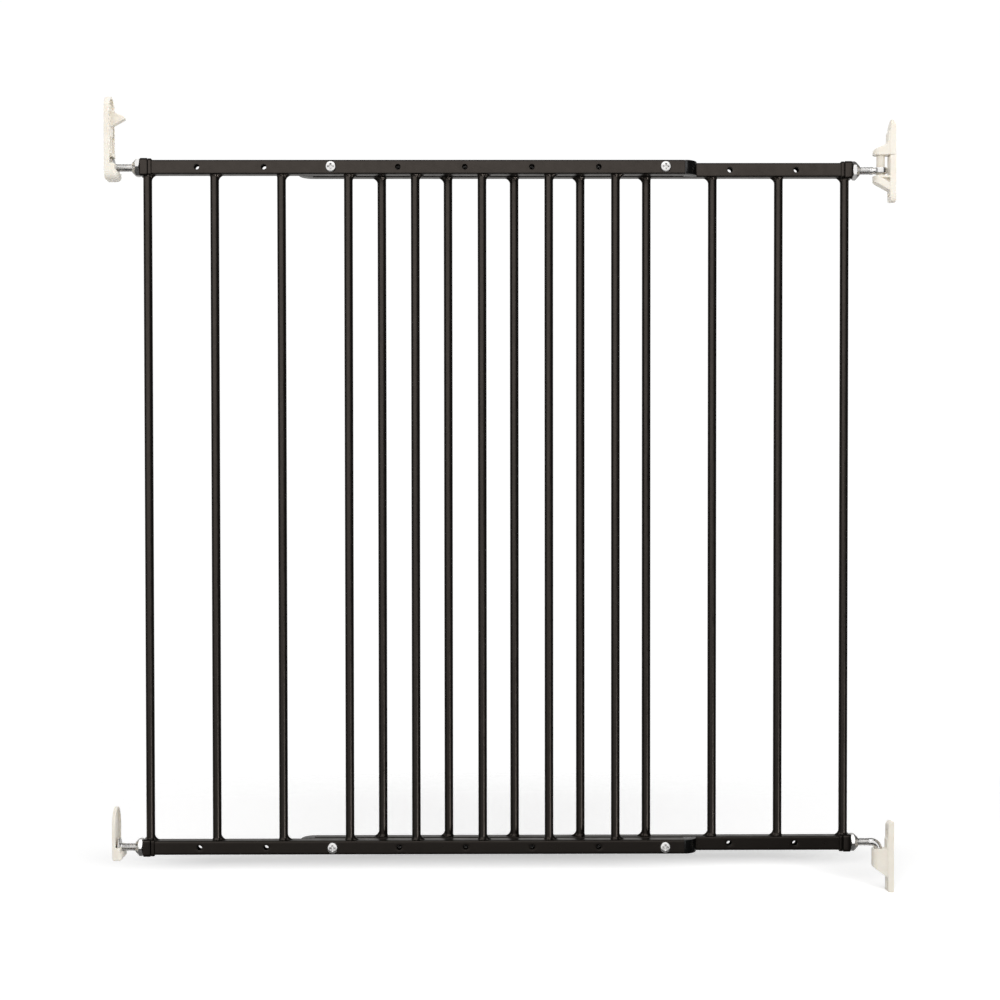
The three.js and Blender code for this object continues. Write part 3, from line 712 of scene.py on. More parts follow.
def lock_nut(x, y, z, direction, turn):
    """Hexagon nut with chamfered corners and a cone on its outer side."""
    flats = hexagon(ACROSS_FLATS, turn)
    corner = ACROSS_FLATS / math.sqrt(3)
    flat = ACROSS_FLATS / 2
    bore = BOLT_R + 0.15
    rows = [(0.5, bore), (0.0, bore + 0.5), (0.0, flat - 0.5), (0.12, flat - 0.1)]
    rows += [(0.35, clipped(flats, flat + 0.4)), (0.75, clipped(flats, corner - 0.25))]
    rows += [(1.05, flats), (3.4, flats)]
    rows += [(3.8, clipped(flats, corner - 0.3)), (4.4, clipped(flats, flat + 0.35)), (4.8, flat - 0.1)]
    rows += [(5.3, flat - 0.65), (7.5, 5.75), (7.9, 5.35), (8.1, 4.95), (8.1, bore + 0.4), (7.7, bore)]
    stations = [(x + direction * t, radius) for t, radius in rows]
    return turned("x", (y, z), stations, 96, closed=True)


def latch_bolt(disc_back, shank_end, y, z):
    """Threaded bolt with a round disc that drops into a latch cup."""
    disc = [(0, 0.01), (0, 7.5), (0.08, 8.9), (0.25, 9.25), (0.5, 9.45), (0.8, 9.5), (1.4, 9.5), (1.7, 9.45)]
    disc += [(1.95, 9.25), (2.12, 8.9), (2.2, 8.3), (2.2, 5.2), (2.35, 4.6), (2.8, 4.15), (3.4, 3.9)]
    stations = [(disc_back + t, radius) for t, radius in disc]
    start = disc_back + 3.6
    stations += thread_stations(start, shank_end, (start, start + 1.5))
    stations.append((shank_end + TIP_CHAMFER, BOLT_R - 1.0))
    return turned("x", (y, z), stations, 40)


PLAIN_R = 3.95                    # radius of a bolt where it has no thread
THREAD_END = 9.2                  # thread stops this far before the hinge axis
EYE_R = 7.5
EYE_T = 6.0
EYE_BORE = 5.3


def eye_ring(x, y, z):
    """Forged eye: a ring with a rounded section about the vertical axis."""
    half = EYE_T / 2
    section = rounded([
        (EYE_BORE, -half, 0.5), (EYE_R, -half, 1.1), (EYE_R, half, 1.1), (EYE_BORE, half, 0.5),
    ], 5)
    steps = 64
    rings = []
    for s in range(steps):
        angle = TAU * s / steps
        rings.append([(x + r * math.cos(angle), y + r * math.sin(angle), z + h) for r, h in section])
    return loft(rings, closed=True)


def eye_neck(x, y, z):
    """Round shank flattening into the eye, as (distance, half width, half height)."""
    rows = [(-THREAD_END - 2.5, PLAIN_R, PLAIN_R), (-THREAD_END, PLAIN_R, PLAIN_R)]
    rows += [(-8.4, 4.1, 3.6), (-7.4, 4.6, 3.15), (-6.0, 4.9, 2.95)]
    rings = []
    for t, wide, tall in rows:
        rings.append([
            (x + t, y + wide * math.cos(TAU * k / 40), z + tall * math.sin(TAU * k / 40)) for k in range(40)
        ])
    return loft(rings)


def eyebolt(start, y, z):
    """Threaded shank with a smooth forged eye that turns on the hinge pin."""
    forged = carved("forged", eye_ring(PIN_AXIS_X, y, z), add=[eye_neck(PIN_AXIS_X, y, z)])
    soften(forged, 0.28, 5, 0.5)
    end = PIN_AXIS_X - THREAD_END
    stations = [(start - TIP_CHAMFER, BOLT_R - 1.0)] + thread_stations(start, end, (end, end - 1.6))
    stations += [(end + 0.3, 3.9), (end + 1.2, 3.7)]
    shank = new_object("hinge_eyebolt_forged", turned("x", (y, z), stations, 40))
    union = shank.modifiers.new("join", "BOOLEAN")
    union.operation = "UNION"
    union.solver = "EXACT"
    union.object = forged
    bake(shank)
    bpy.data.objects.remove(forged)
    return shank


BEND_R = 8.0


def bent_bolt(start, y, axis_z, leg_bottom):
    """Threaded bolt bent down into the lower socket, swept along its bend."""
    bend_x = PIN_AXIS_X - BEND_R
    thread_end = PIN_AXIS_X - THREAD_END - 0.6
    rows = [((start - TIP_CHAMFER, axis_z), 0.0, BOLT_R - 1.0)]
    for t, radius in thread_stations(start, thread_end, (thread_end, thread_end - 1.6)):
        rows.append(((t, axis_z), 0.0, radius))
    steps = 16
    for s in range(steps + 1):
        angle = math.pi / 2 * s / steps
        spot = (bend_x + BEND_R * math.sin(angle), axis_z - BEND_R + BEND_R * math.cos(angle))
        rows.append((spot, angle, PLAIN_R))
    rows.append(((PIN_AXIS_X, leg_bottom + 0.8), math.pi / 2, PLAIN_R))
    rows.append(((PIN_AXIS_X, leg_bottom), math.pi / 2, 3.2))
    rings = []
    for (px, pz), turn, radius in rows:
        ring = []
        for k in range(40):
            angle = TAU * k / 40
            r = radius(angle) if callable(radius) else radius
            up = r * math.sin(angle)
            ring.append((px + up * math.sin(turn), y + r * math.cos(angle), pz + up * math.cos(turn)))
        rings.append(ring)
    return loft(rings)


HEAD_R = 5.6
HEAD_HEIGHT = 2.8
CROSS_LENGTH = 3.9                # half length and half width of a bar of the cross
CROSS_WIDTH = 1.1


def panel_screw(x, z, face, tip):
    """Pan head screw through both panels, and the two bars of its cross recess."""
    head = [(face - HEAD_HEIGHT, 0.01), (face - 2.78, 2.6), (face - 2.68, 4.1), (face - 2.5, 4.8)]
    head += [(face - 2.1, 5.3), (face - 1.5, 5.52), (face - 0.35, HEAD_R), (face, HEAD_R - 0.1), (face, 2.6)]
    shank = [(face + 0.6, 2.5), (tip - 1.0, 2.5), (tip, 1.8)]
    body = turned("y", (x, z), head + shank, 48)

    def wing(width, height):
        """One bar of the cross, narrowing as it goes in."""
        def outline(w, h):
            corners = ((-w, -h), (w, -h), (w, h), (-w, h))
            return rounded([(x + u, z + v, 0.2) for u, v in corners], 3)

        outer = [(u, face - 3.4, v) for u, v in outline(width, height)]
        inner = [(u, face - 0.4, v) for u, v in outline(max(0.3, width * 0.4), max(0.3, height * 0.4))]
        return loft([outer, inner])
    return body, [wing(CROSS_LENGTH, CROSS_WIDTH), wing(CROSS_WIDTH, CROSS_LENGTH)]


CAP_NUT_FLATS = 8.5


def cap_nut(x, z, back):
    """Domed nut with a washer flange behind the rear rail."""
    flats = hexagon(CAP_NUT_FLATS)
    rows = [(6.0, 0.01), (6.0, 2.65), (0.0, 2.65)]
    rows += [(0.0, 5.7), (0.2, 6.0), (0.9, 6.0), (1.2, 5.7)]
    rows += [(1.2, clipped(flats, 4.85)), (1.5, flats), (4.3, flats), (4.8, clipped(flats, 4.45))]
    rows += [(5.1, 4.2), (5.9, 4.05), (6.9, 3.6), (7.8, 2.8), (8.5, 1.7), (8.9, 0.8), (9.0, 0.01)]
    return turned("y", (x, z), [(back + t, radius) for t, radius in rows], 72)


def build_panel_screws():
    for column in ("left", "right"):
        for level in ("top", "bottom"):
            node = f"panel_screw_{level}_{column}"
            low, high = node_box(node)
            middle = (low + high) / 2
            body, slots = panel_screw(middle.x, middle.z, low.y + HEAD_HEIGHT, high.y)
            screw = carved(f"{node}_cross", body, cut=slots)
            bevel(screw, 0.12, 2, 50)
            dress(screw, ZINC, "gate", "zinc", node, sharp=45)
            node = f"cap_nut_{level}_{column}"
            low, high = node_box(node)
            middle = (low + high) / 2
            nut = new_object(f"{node}_domed", cap_nut(middle.x, middle.z, low.y))
            dress(nut, ZINC, "gate", "zinc", node, sharp=35)


def build_bolts():
    for level in ("upper", "lower"):
        node = f"{level}_latch_bolt"
        low, high = node_box(node)
        middle = (low + high) / 2
        threaded = latch_bolt(low.x, high.x - TIP_CHAMFER, middle.y, middle.z)
        bolt = new_object(f"{node}_threaded", threaded)
        dress(bolt, ZINC, "gate", "zinc", node, sharp=50)

    nuts = (("upper_latch_lock_nut", -1, 0), ("lower_latch_lock_nut", -1, 0),
            ("upper_hinge_lock_nut", 1, math.pi / 6), ("lower_hinge_lock_nut", 1, 0))
    for node, direction, turn in nuts:
        low, high = node_box(node)
        middle = (low + high) / 2
        base = high.x if direction < 0 else low.x
        nut = new_object(f"{node}_chamfered", lock_nut(base, middle.y, middle.z, direction, turn))
        dress(nut, ZINC, "gate", "zinc", node, sharp=30)

    low, high = node_box("hinge_eyebolt")
    z = (low.z + high.z) / 2
    eye = eyebolt(low.x + TIP_CHAMFER, 0.0, z)
    dress(eye, ZINC, "gate", "zinc", "hinge_eyebolt", sharp=50)
    low, high = node_box("hinge_bent_bolt")
    swept = bent_bolt(low.x + TIP_CHAMFER, 0.0, high.z - BOLT_R, low.z)
    bent = new_object("hinge_bent_bolt_threaded", swept)
    dress(bent, ZINC, "gate", "zinc", "hinge_bent_bolt", sharp=50)


def build_bush():
    """A plain liner with broken edges."""
    low, high = node_box("eye_bush")
    rows = [(low.z, 4.7), (low.z + 0.2, 4.5), (high.z - 0.2, 4.5), (high.z, 4.7)]
    rows += [(high.z, 5.05), (high.z - 0.2, 5.2), (low.z + 0.2, 5.2), (low.z, 5.05)]
    bush = new_object("eye_bush_turned", turned("z", (PIN_AXIS_X, 0), rows, 64, closed=True))
    dress(bush, NYLON, "lift_bush", "nylon", "eye_bush", sharp=40)


# ---- cream wall brackets ----
SLOT_R = BOLT_R + 0.4
LATCH_WIDTH = 33.0
CUP_CORNER = 4.5
POCKET_R = 10.0
DISC_ROOM = 2.8                   # pocket depth in front of the rims
LATCH_UPPER = dict(
    top=72.8, rise=13.0, bottom=-13.1, foot=8.0, lean=0.0, rim=5.3, rim_side=4.0, rim_top=2.2, floor=2.4,
    screws=(24.5, 62.0), cup_top=2.8, lip=10.3, bulge=12.6, base=6.0,
)
LATCH_LOWER = dict(
    top=42.2, rise=19.0, bottom=-12.0, foot=3.0, lean=1.0, rim=3.5, rim_side=2.5, rim_top=2.5, floor=1.6,
    screws=(30.0,), cup_top=1.2, lip=8.0, bulge=10.0, base=3.5,
)


def arched(width, bottom, top, rise, foot):
    """Plate outline as (y, z) with an elliptical top."""
    half = width / 2
    reach = foot or 0.01
    shoulder = top - rise
    outline = rounded([(-half, shoulder), (-half, bottom, reach), (half, bottom, reach), (half, shoulder)], 8)
    steps = 36
    for i in range(1, steps):
        angle = math.pi * i / steps
        outline.append((half * math.cos(angle), shoulder + rise * math.sin(angle)))
    return outline


WALL_HOLE_R = 2.4
SINK_R = 4.1


def screw_sink(floor, z):
    """Wall screw hole with a countersink in the floor of a bracket."""
    hole = rod("x", (0, z), WALL_HOLE_R, -2, floor + 2, 32)
    sink = rod("x", (0, z), WALL_HOLE_R, floor - 1.1, floor + 0.05, 32, SINK_R)
    return [hole, sink]


def cup_trims(s, half):
    """Cutters that round the cup's front corners and its foot, and lean its back off the wall."""
    trims = []
    front, bottom = s["bulge"], s["bottom"]
    for side in (-1, 1):
        near, edge, outside = side * 1.0, side * half, side * (half + 1)
        plan = rounded([
            (front + 1, outside), (front + 1, near), (front, near), (front, edge, CUP_CORNER), (-1, edge),
            (-1, outside),
        ])
        trims.append(prism("z", plan, bottom - 1, s["cup_top"] + 0.5))
        foot = rounded([
            (outside, bottom - 1), (outside, 0), (edge, 0), (edge, bottom, s["foot"]), (near, bottom),
            (near, bottom - 1),
        ], 8)
        trims.append(prism("x", foot, -1, front + 1))
    if s["lean"]:
        wedge = [(-1, -8), (0, -8), (s["lean"], bottom - 0.01), (s["lean"], bottom - 1), (-1, bottom - 1)]
        trims.append(prism("y", wedge, -half - 1, half + 1))
    return trims


def latch_bracket(name, s, wall_x, y, axis_z, extra_cuts=()):
    """Wall plate with a raised rim and an open-topped cup for the bolt's disc."""
    half = LATCH_WIDTH / 2

    def at(part):
        return moved(part, wall_x, y, axis_z)

    plate = prism("x", arched(LATCH_WIDTH, s["bottom"], s["top"], s["rise"], s["foot"]), 0, s["rim"])
    cup = prism("y", rounded([
        (0.01, s["bottom"]), (s["bulge"], s["bottom"], s["base"]), (s["bulge"], -SLOT_R, 1.5),
        (s["lip"], -SLOT_R + 1.5), (s["lip"], s["cup_top"], 0.8), (0.01, s["cup_top"]),
    ]), -half, half)
    trims = cup_trims(s, half)
    inset = LATCH_WIDTH - 2 * s["rim_side"]
    recess_outline = arched(inset, s["cup_top"], s["top"] - s["rim_top"], s["rise"] - 2, 0)
    recess = prism("x", recess_outline, s["floor"], s["rim"] + 1)
    pocket_end = s["rim"] + DISC_ROOM
    above = s["cup_top"] + 1
    cuts = trims + [
        recess,
        rod("x", (0, 0), POCKET_R, s["floor"], pocket_end, 64),
        block(s["floor"], pocket_end, -POCKET_R, POCKET_R, 0, above),
        rod("x", (0, 0), SLOT_R, pocket_end - 1, s["bulge"] + 1, 40),
        block(pocket_end - 1, s["bulge"] + 1, -SLOT_R, SLOT_R, 0, above),
    ]
    for z in s["screws"]:
        cuts += screw_sink(s["floor"], z)
    bracket = carved(name, at(plate), add=[at(cup)], cut=[*map(at, cuts), *map(at, extra_cuts)])
    soften(bracket, 0.36, 4, 0.3)
    return bracket


CATCH_BACK = LATCH_UPPER["floor"] + 0.2
CATCH_FRONT = CATCH_BACK + 1.8
SPINE_HALF = 7
SPINE_Z = (10.5, 52)              # heights above the bolt's axis
FLANGE_HALF = 13.6
FLANGE_Z = (34, 46)
GROOVE_Z = (31, 58)
GRIP_HALF = 4.8
GRIP_Z = (41.5, 58.3)
GRIP_TIP = (21.2, 50.9, 3.0)
CATCH_SLOT_HALF = 3.4
CATCH_SLOT_Z = (17, 33)


def catch_grooves():
    """Room for the catch's flange to slide in the bracket's sides."""
    half = FLANGE_HALF + 0.2
    return block(LATCH_UPPER["floor"], CATCH_FRONT + 0.2, -half, half, *GROOVE_Z)


def latch_catch(wall_x, y, axis_z):
    """Thumb slide: flange, spine, pointed grip and a foot over the bolt's disc."""
    def at(part):
        return moved(part, wall_x, y, axis_z)

    spine = block(CATCH_BACK, CATCH_FRONT, -SPINE_HALF, SPINE_HALF, *SPINE_Z)
    flange = block(CATCH_BACK, CATCH_FRONT, -FLANGE_HALF, FLANGE_HALF, *FLANGE_Z)
    foot = block(CATCH_BACK, LATCH_UPPER["rim"] + 2.5, -SPINE_HALF, SPINE_HALF, SPINE_Z[0], 14)
    low, high = GRIP_Z
    grip = prism("y", rounded([
        (CATCH_BACK, low), (CATCH_FRONT, low), GRIP_TIP, (CATCH_FRONT, high), (CATCH_BACK, high),
    ]), -GRIP_HALF, GRIP_HALF)
    low, high = CATCH_SLOT_Z
    half = CATCH_SLOT_HALF
    slot_outline = rounded([(-half, low, 3), (half, low, 3), (half, high, 3), (-half, high, 3)])
    slot = prism("x", slot_outline, CATCH_BACK - 1, CATCH_FRONT + 1)
    catch = carved("latch_catch_thumb", at(spine), add=[at(flange), at(foot), at(grip)], cut=[at(slot)])
    soften(catch, 0.34, 4, 0.4)
    return catch


PIN_R = 4.3
PLATE_T = 6.2
HINGE_HALF = 7.5
ARM_HALF = 7.0
ARM_REACH = PIN_AXIS_X - 8.0
ARM_CORNER = 5.5
ARM_DROP = 5.4                    # lower arm's top below the top rail's axis
SEAM_RISE = 16.0                  # seam between the two halves above the top rail's axis
TONGUE_T = 3.2
TONGUE_HALF = 4.5
RECESS_TIP = 1.0                  # depth of the recess in each side of the lower arm, at its ends
RECESS_ROOT = 4.2
BOSS_FACE = -8.0
SOCKET_HALF = 6.6
SOCKET_REACH = PIN_AXIS_X - 7.0
UPPER_WALL_SCREWS = (693, 757)    # heights of the screw holes in the hinge brackets
LOWER_WALL_SCREWS = (24, -30)


def arm_sides(half, reach, corner, z0, z1):
    """Two cutters that trim an arm to its half width and round its free end in plan."""
    parts = []
    for side in (-1, 1):
        near, edge, outside = side * 1.0, side * half, side * (half + 5)
        outline = rounded([
            (reach - 1, near), (reach, near), (reach, edge, corner), (2, edge), (2, outside),
            (reach - 1, outside),
        ])
        parts.append(prism("z", outline, z0, z1))
    return parts


def rib_recess(side, arm_top):
    """Triangular recess in one side of the lower arm, getting deeper towards the wall."""
    tip = PIN_AXIS_X - 1
    outline = rounded([(tip, arm_top - 2.2, 0.8), (-PLATE_T, arm_top - 2.2), (-PLATE_T, arm_top - 7.4, 0.8)])
    outer = [(x, side * (ARM_HALF + 2), z) for x, z in outline]
    slope = (RECESS_ROOT - RECESS_TIP) / (-PLATE_T - tip)
    inner = [(x, side * (ARM_HALF - RECESS_TIP - slope * (x - tip)), z) for x, z in outline]
    return loft([outer, inner])


def upper_hinge(low, high, axis_z):
    """Lower half of the top hinge: plate, tongue and the arm that carries the pin's end."""
    seam = axis_z + SEAM_RISE
    plate_top = seam - 0.2
    arm_top = axis_z - ARM_DROP
    plate = prism("x", rounded([
        (-HINGE_HALF, low.z, 5), (HINGE_HALF, low.z, 5), (HINGE_HALF, plate_top), (-HINGE_HALF, plate_top),
    ], 8), -PLATE_T, 0)
    tongue = block(-TONGUE_T, 0, -TONGUE_HALF, TONGUE_HALF, seam - 1, high.z)
    arm = prism("y", rounded([
        (-3, arm_top), (ARM_REACH, arm_top, 0.8), (ARM_REACH, arm_top - 6.4, 1.5),
        (-PLATE_T, arm_top - 15.6, 2), (-3, arm_top - 18),
    ]), -ARM_HALF, ARM_HALF)
    arm_body = carved("arm", arm, cut=arm_sides(ARM_HALF, ARM_REACH, ARM_CORNER, low.z, seam))
    cuts = [rod("z", (PIN_AXIS_X, 0), 4.5, arm_top - 6.1, arm_top + 1)]
    cuts += [rib_recess(-1, arm_top), rib_recess(1, arm_top)]
    for z in UPPER_WALL_SCREWS:
        cuts.append(rod("x", (0, z), WALL_HOLE_R, -9, 1, 32))
    bracket = carved("upper_hinge_bracket_moulded", plate, add=[tongue, mesh_part(arm_body)], cut=cuts)
    bpy.data.objects.remove(arm_body)
    soften(bracket, 0.34, 4, 0.35)
    return bracket


def mesh_part(obj):
    """An object's mesh as a part in mm."""
    points = [tuple(v.co / MM) for v in obj.data.vertices]
    return points, [tuple(face.vertices) for face in obj.data.polygons]


def hinge_cap(axis_z, top, pin_bottom, tongue_top):
    """Upper half of the top hinge: arched plate, sloping arm and the pin through the eye."""
    seam = axis_z + SEAM_RISE
    side_view = rounded([
        (-PLATE_T, seam), (-PLATE_T, top - 8, 3), (-4.2, top), (-2.6, top), (-0.1, top - 6, 1), (-0.1, seam),
    ])
    plate = carved("plate", prism("y", side_view, -HINGE_HALF, HINGE_HALF),
                   cut=arch_trims(HINGE_HALF, top, 9, -PLATE_T - 1, 1))
    arm = prism("y", rounded([
        (-3, seam), (ARM_REACH, seam, 0.8), (ARM_REACH, seam + 5.8, 3), (-10.4, seam + 10.8, 1.6),
        (BOSS_FACE, seam + 13.6, 1.6), (BOSS_FACE, seam + 23, 1), (-3, seam + 32),
    ]), -ARM_HALF, ARM_HALF)
    arm_body = carved("arm", arm, cut=arm_sides(ARM_HALF, ARM_REACH, ARM_CORNER, seam - 1, top))
    slot = block(-TONGUE_T - 0.2, 1, -TONGUE_HALF - 0.2, TONGUE_HALF + 0.2, seam - 1, tongue_top + 0.2)
    body = carved("hinge_cap_moulded", mesh_part(plate), add=[mesh_part(arm_body)], cut=[slot])
    bpy.data.objects.remove(arm_body)
    bpy.data.objects.remove(plate)
    soften(body, 0.34, 4, 0.35)
    pin_rows = [(pin_bottom, 3.2), (pin_bottom + 0.4, 3.7), (pin_bottom + 1.1, 4.2)]
    pin_rows += [(pin_bottom + 1.4, PIN_R), (seam + 1, PIN_R)]
    pin = carved("pin", turned("z", (PIN_AXIS_X, 0), pin_rows, 56))
    union = body.modifiers.new("pin", "BOOLEAN")
    union.operation = "UNION"
    union.solver = "EXACT"
    union.object = pin
    bake(body)
    bpy.data.objects.remove(pin)
    return body


def arch_trims(half, top, rise, x0, x1):
    """Two cutters that leave an elliptical arch on a plate's top."""
    parts = []
    for side in (-1, 1):
        outline = [(side * (half + 1), top - rise), (side * half, top - rise)]
        steps = 14
        for i in range(1, steps + 1):
            angle = math.pi / 2 * i / steps
            outline.append((side * half * math.cos(angle), top - rise + rise * math.sin(angle)))
        outline += [(0, top + 1), (side * (half + 1), top + 1)]
        parts.append(prism("x", outline, x0, x1))
    return parts


def lower_hinge(low, high):
    """Bottom hinge: a plate with a rounded top edge, a small pad and the socket for the bent bolt."""
    socket_top = low.z + 45.5
    plate = prism("y", rounded([
        (-PLATE_T, low.z, 1.5), (0, low.z, 0.8), (0, high.z, 0.8), (-PLATE_T, high.z, 5.2),
    ], 8), -HINGE_HALF, HINGE_HALF)
    boss = prism("y", rounded([
        (-3, socket_top), (SOCKET_REACH, socket_top, 0.8), (SOCKET_REACH, -10.5, 3),
        (-PLATE_T, -21.8, 2), (-3, -24),
    ]), -SOCKET_HALF, SOCKET_HALF)
    boss_body = carved("boss", boss, cut=arm_sides(SOCKET_HALF, SOCKET_REACH, ARM_CORNER, -40, 40))
    pad = prism("y", rounded([
        (-3, socket_top - 2), (-PLATE_T - 1, socket_top - 2), (-PLATE_T - 1, 18.5, 1), (-3, 20.5),
    ]), -SOCKET_HALF, SOCKET_HALF)
    cuts = [rod("z", (PIN_AXIS_X, 0), 4.45, -11.5, socket_top + 1, 48)]
    for z in LOWER_WALL_SCREWS:
        cuts.append(rod("x", (0, z), WALL_HOLE_R, -9, 1, 32))
        cuts.append(rod("x", (0, z), SINK_R, -PLATE_T - 0.05, -PLATE_T + 2, 32, WALL_HOLE_R))
    bracket = carved("lower_hinge_bracket_moulded", plate, add=[mesh_part(boss_body), pad], cut=cuts)
    bpy.data.objects.remove(boss_body)
    soften(bracket, 0.34, 4, 0.35)
    return bracket


def build_brackets():
    latches = (("upper_latch_bracket", LATCH_UPPER, "top"), ("lower_latch_bracket", LATCH_LOWER, "bottom"))
    for node, settings, level in latches:
        wall_x = node_box(node)[0].x
        rail_middle = node_middle(f"latch_{level}_rail")
        extra = [catch_grooves()] if level == "top" else []
        bracket = latch_bracket(f"{node}_moulded", settings, wall_x, rail_middle.y, rail_middle.z, extra)
        dress(bracket, CREAM, "wall_fittings", "cream_plastic", node)
    wall_x = node_box("upper_latch_bracket")[0].x
    rail_middle = node_middle("latch_top_rail")
    catch = latch_catch(wall_x, rail_middle.y, rail_middle.z)
    dress(catch, CREAM, "latch_catch", "cream_plastic", "latch_catch")

    low, high = node_box("upper_hinge_bracket")
    cap_low, cap_high = node_box("hinge_cap")
    axis_z = node_middle("hinge_top_rail").z
    upper = upper_hinge(low, high, axis_z)
    dress(upper, CREAM, "wall_fittings", "cream_plastic", "upper_hinge_bracket")
    cap = hinge_cap(axis_z, cap_high.z, cap_low.z, high.z)
    dress(cap, CREAM, "hinge_cap", "cream_plastic", "hinge_cap", sharp=70)
    lower = lower_hinge(*node_box("lower_hinge_bracket"))
    dress(lower, CREAM, "wall_fittings", "cream_plastic", "lower_hinge_bracket")


# ---- stage, light and camera ----


FLOOR_GLOW = 0.45                 # share of the floor's white that no shadow can take
FLOOR_SQUEEZE = 0.6               # the fade to white is an ellipse, longer along the gate
FLOOR_FADE = (0.5, 0.95)          # m from the middle of the gate, in front and behind
FLOOR_HALF = 3.0
FLOOR_DROP = 0.0003


def floor():
    """White floor that fades into the white surroundings away from the gate."""
    size = FLOOR_HALF
    z = CAD_BOX[0].z - FLOOR_DROP
    mesh = bpy.data.meshes.new("floor")
    corners = [(-size, -size, z), (size, -size, z), (size, size, z), (-size, size, z)]
    mesh.from_pydata(corners, [], [(0, 1, 2, 3)])
    obj = bpy.data.objects.new("floor", mesh)
    bpy.context.scene.collection.objects.link(obj)
    material = bpy.data.materials.new("floor_white")
    material.use_nodes = True
    tree = material.node_tree
    surface = tree.nodes["Principled BSDF"]
    surface.inputs["Base Color"].default_value = (0.9, 0.9, 0.9, 1)
    surface.inputs["Roughness"].default_value = 1.0
    surface.inputs["Specular IOR Level"].default_value = 0.0
    surface.inputs["Emission Color"].default_value = (1, 1, 1, 1)
    surface.inputs["Emission Strength"].default_value = FLOOR_GLOW
    place = tree.nodes.new("ShaderNodeTexCoord")
    squeeze = tree.nodes.new("ShaderNodeMapping")
    middle = (CAD_BOX[0].x + CAD_BOX[1].x) / 2
    squeeze.inputs["Location"].default_value = (-FLOOR_SQUEEZE * middle, 0, -z)
    squeeze.inputs["Scale"].default_value = (FLOOR_SQUEEZE, 1, 1)
    tree.links.new(place.outputs["Object"], squeeze.inputs["Vector"])
    centre = tree.nodes.new("ShaderNodeVectorMath")
    centre.operation = "LENGTH"
    tree.links.new(squeeze.outputs["Vector"], centre.inputs[0])
    fade = tree.nodes.new("ShaderNodeMapRange")
    fade.interpolation_type = "SMOOTHSTEP"
    fade.inputs["From Min"].default_value = FLOOR_FADE[0]
    fade.inputs["From Max"].default_value = FLOOR_FADE[1]
    tree.links.new(centre.outputs["Value"], fade.inputs["Value"])
    clear = tree.nodes.new("ShaderNodeBsdfTransparent")
    mix = tree.nodes.new("ShaderNodeMixShader")
    tree.links.new(fade.outputs["Result"], mix.inputs["Fac"])
    tree.links.new(surface.outputs["BSDF"], mix.inputs[1])
    tree.links.new(clear.outputs["BSDF"], mix.inputs[2])
    tree.links.new(mix.outputs["Shader"], tree.nodes["Material Output"].inputs["Surface"])
    obj.data.materials.append(material)
    obj.visible_glossy = False
    obj.visible_diffuse = False
    return obj


def group(name, objects):
    """A collection used only to say what a light falls on, or what shades it."""
    collection = bpy.data.collections.new(name)
    for obj in objects:
        collection.objects.link(obj)
    return collection


def softbox(name, place, target, width, height, radiance, lit, shades=None, shape="RECTANGLE"):
    """A soft light with this radiance, hidden from the camera. It falls on the lit group only."""
    light = bpy.data.lights.new(name, "AREA")
    light.shape = shape
    light.size = width
    light.size_y = height
    light.energy = radiance * width * height * math.pi
    obj = bpy.data.objects.new(name, light)
    obj.location = place
    obj.rotation_mode = "QUATERNION"
    obj.rotation_quaternion = (Vector(target) - Vector(place)).to_track_quat("-Z", "Y")
    obj.visible_camera = False
    obj.light_linking.receiver_collection = lit
    if shades:
        obj.light_linking.blocker_collection = shades
    bpy.context.scene.collection.objects.link(obj)


def surroundings():
    """White to the camera. To the object: dim all round, bright behind and below, as in a white studio."""
    world = bpy.data.worlds.new("studio")
    bpy.context.scene.world = world
    world.use_nodes = True
    tree = world.node_tree
    tree.nodes.clear()
    place = tree.nodes.new("ShaderNodeTexCoord")
    parts = tree.nodes.new("ShaderNodeSeparateXYZ")
    tree.links.new(place.outputs["Generated"], parts.inputs[0])

    def glow(axis, start, end, strength):
        """Light that grows from nothing to full strength between two values of the view's direction."""
        node = tree.nodes.new("ShaderNodeMapRange")
        node.interpolation_type = "SMOOTHSTEP"
        sockets = (("From Min", start), ("From Max", end), ("To Min", 0.0), ("To Max", strength))
        for socket, number in sockets:
            node.inputs[socket].default_value = number
        tree.links.new(parts.outputs[axis], node.inputs["Value"])
        return node.outputs["Result"]

    def total(first, second):
        """Sum of an output and a number or another output."""
        node = tree.nodes.new("ShaderNodeMath")
        tree.links.new(first, node.inputs[0])
        if isinstance(second, float):
            node.inputs[1].default_value = second
        else:
            tree.links.new(second, node.inputs[1])
        return node.outputs[0]

    behind_and_below = total(glow("Y", 0.55, 0.95, 0.50), glow("Z", -0.5, -1.0, 0.05))
    strength = total(total(behind_and_below, glow("X", -0.35, -0.85, 0.12)), 0.03)
    lighting = tree.nodes.new("ShaderNodeBackground")
    lighting.inputs["Color"].default_value = (1.0, 0.985, 0.965, 1)
    tree.links.new(strength, lighting.inputs["Strength"])
    seen = tree.nodes.new("ShaderNodeBackground")
    seen.inputs["Color"].default_value = (1, 1, 1, 1)
    seen.inputs["Strength"].default_value = 1.02
    path = tree.nodes.new("ShaderNodeLightPath")
    mix = tree.nodes.new("ShaderNodeMixShader")
    tree.links.new(path.outputs["Is Camera Ray"], mix.inputs["Fac"])
    tree.links.new(lighting.outputs[0], mix.inputs[1])
    tree.links.new(seen.outputs[0], mix.inputs[2])
    output = tree.nodes.new("ShaderNodeOutputWorld")
    tree.links.new(mix.outputs[0], output.inputs["Surface"])


# Front light on the black finish, brighter the higher it is: (lowest z, highest z, radiance).
COAT_STEPS = ((-0.65, -0.05, 0.35), (-0.05, 0.42, 1.1), (0.42, 2.0, 1.75))


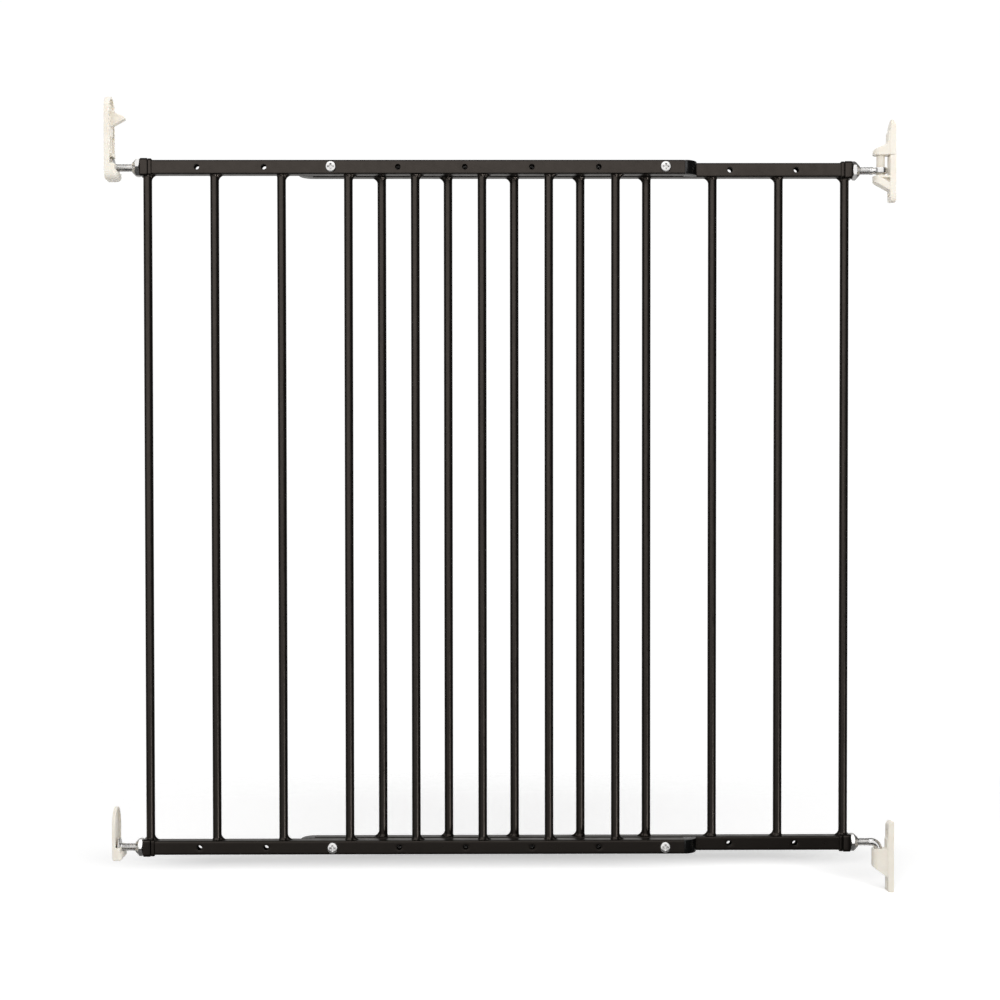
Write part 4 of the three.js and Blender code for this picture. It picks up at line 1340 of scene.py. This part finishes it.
def lights(floor_object):
    """Soft lights set for each finish, as a photographer flags a light, and one for the floor."""
    def wearing(*materials):
        meshes = [obj for obj in bpy.context.scene.objects if obj.type == "MESH"]
        return [obj for obj in meshes if obj.data.materials and obj.data.materials[0] in materials]

    coat = group("lit_coat", wearing(COAT, PLUG))
    cream = group("lit_cream", wearing(CREAM, NYLON))
    zinc = group("lit_zinc", wearing(ZINC))
    gate = group("gate_shades", wearing(COAT, PLUG, CREAM, NYLON, ZINC))
    bars = group("lit_bars", [obj for obj in wearing(COAT) if "_bar_" in obj.name])
    below = group("lit_floor", [floor_object])
    for step, (low, high, radiance) in enumerate(COAT_STEPS):
        middle = (low + high) / 2
        place, target = (-2.0, -2.35, middle), (-2.0, 0, middle)
        softbox(f"coat_front_{step}", place, target, 4.6, high - low, radiance, coat, gate)
    softbox("coat_top", (-0.4, 0.1, 2.4), (-0.4, 0.05, 0), 2.6, 1.2, 0.3, coat)
    softbox("coat_high", (0.8, -2.35, 1.4), (0.8, 0, 1.4), 1.0, 1.2, 1.75, coat, gate)
    softbox("coat_strip", (2.9, -5.0, -2.0), (-0.41, 0, 0.1), 0.7, 1.0, 60.0, bars, gate)
    softbox("cream_front", (-0.5, -2.6, 1.95), (-0.4, 0, 0.9), 5.0, 2.9, 1.95, cream, gate)
    softbox("cream_back", (-0.4, 2.6, 1.5), (-0.4, 0, 0.6), 5.0, 3.4, 1.0, cream, gate)
    softbox("cream_right", (2.6, -0.45, 0.9), (-0.41, 0, 0.4), 2.5, 2.5, 3.5, cream, gate)
    softbox("cream_left", (-3.4, -0.9, 0.9), (-0.41, 0, 0.4), 2.5, 2.5, 1.2, cream, gate)
    softbox("cream_top", (-0.4, -0.3, 2.4), (-0.4, 0, 0.4), 2.6, 1.8, 1.2, cream)
    softbox("cream_below", (-0.4, -1.2, -3.2), (-0.4, 0, 0.4), 7.0, 4.4, 1.45, cream, gate)
    softbox("zinc_front", (-0.6, -2.6, 0.9), (-0.41, 0, 0.4), 5.6, 3.8, 1.1, zinc, gate)
    softbox("zinc_top", (-0.6, -0.6, 2.3), (-0.41, 0, 0.4), 3.4, 2.8, 1.2, zinc)
    softbox("zinc_below", (-0.4, 0.6, -2.4), (-0.4, 0, 0.4), 5.0, 2.4, 0.4, zinc, gate)
    softbox("floor_front", (-0.41, -24.0, 6.2), (-0.41, 0.1, -0.03), 26.0, 3.2, 61.0, below, shape="ELLIPSE")


def camera():
    """Level with the middle of the gate, a little left of the hinge side, tipped down by about one degree."""
    lens = bpy.data.cameras.new("camera")
    lens.sensor_width = 36
    lens.lens = 65.96
    lens.shift_x = 0.01997
    lens.shift_y = 0.02943
    lens.clip_end = 100
    obj = bpy.data.objects.new("camera", lens)
    obj.location = (-0.4453, -1.9185, 0.3828)
    obj.rotation_euler = (math.radians(90 - 1.151), math.radians(0.0714), math.radians(-0.346))
    bpy.context.scene.collection.objects.link(obj)
    bpy.context.scene.camera = obj


camera()
build_panel("latch")
build_panel("hinge")
build_panel_screws()
build_bolts()
build_bush()
build_brackets()
ground = floor()
surroundings()
lights(ground)
bpy.context.scene.view_settings.view_transform = "Standard"
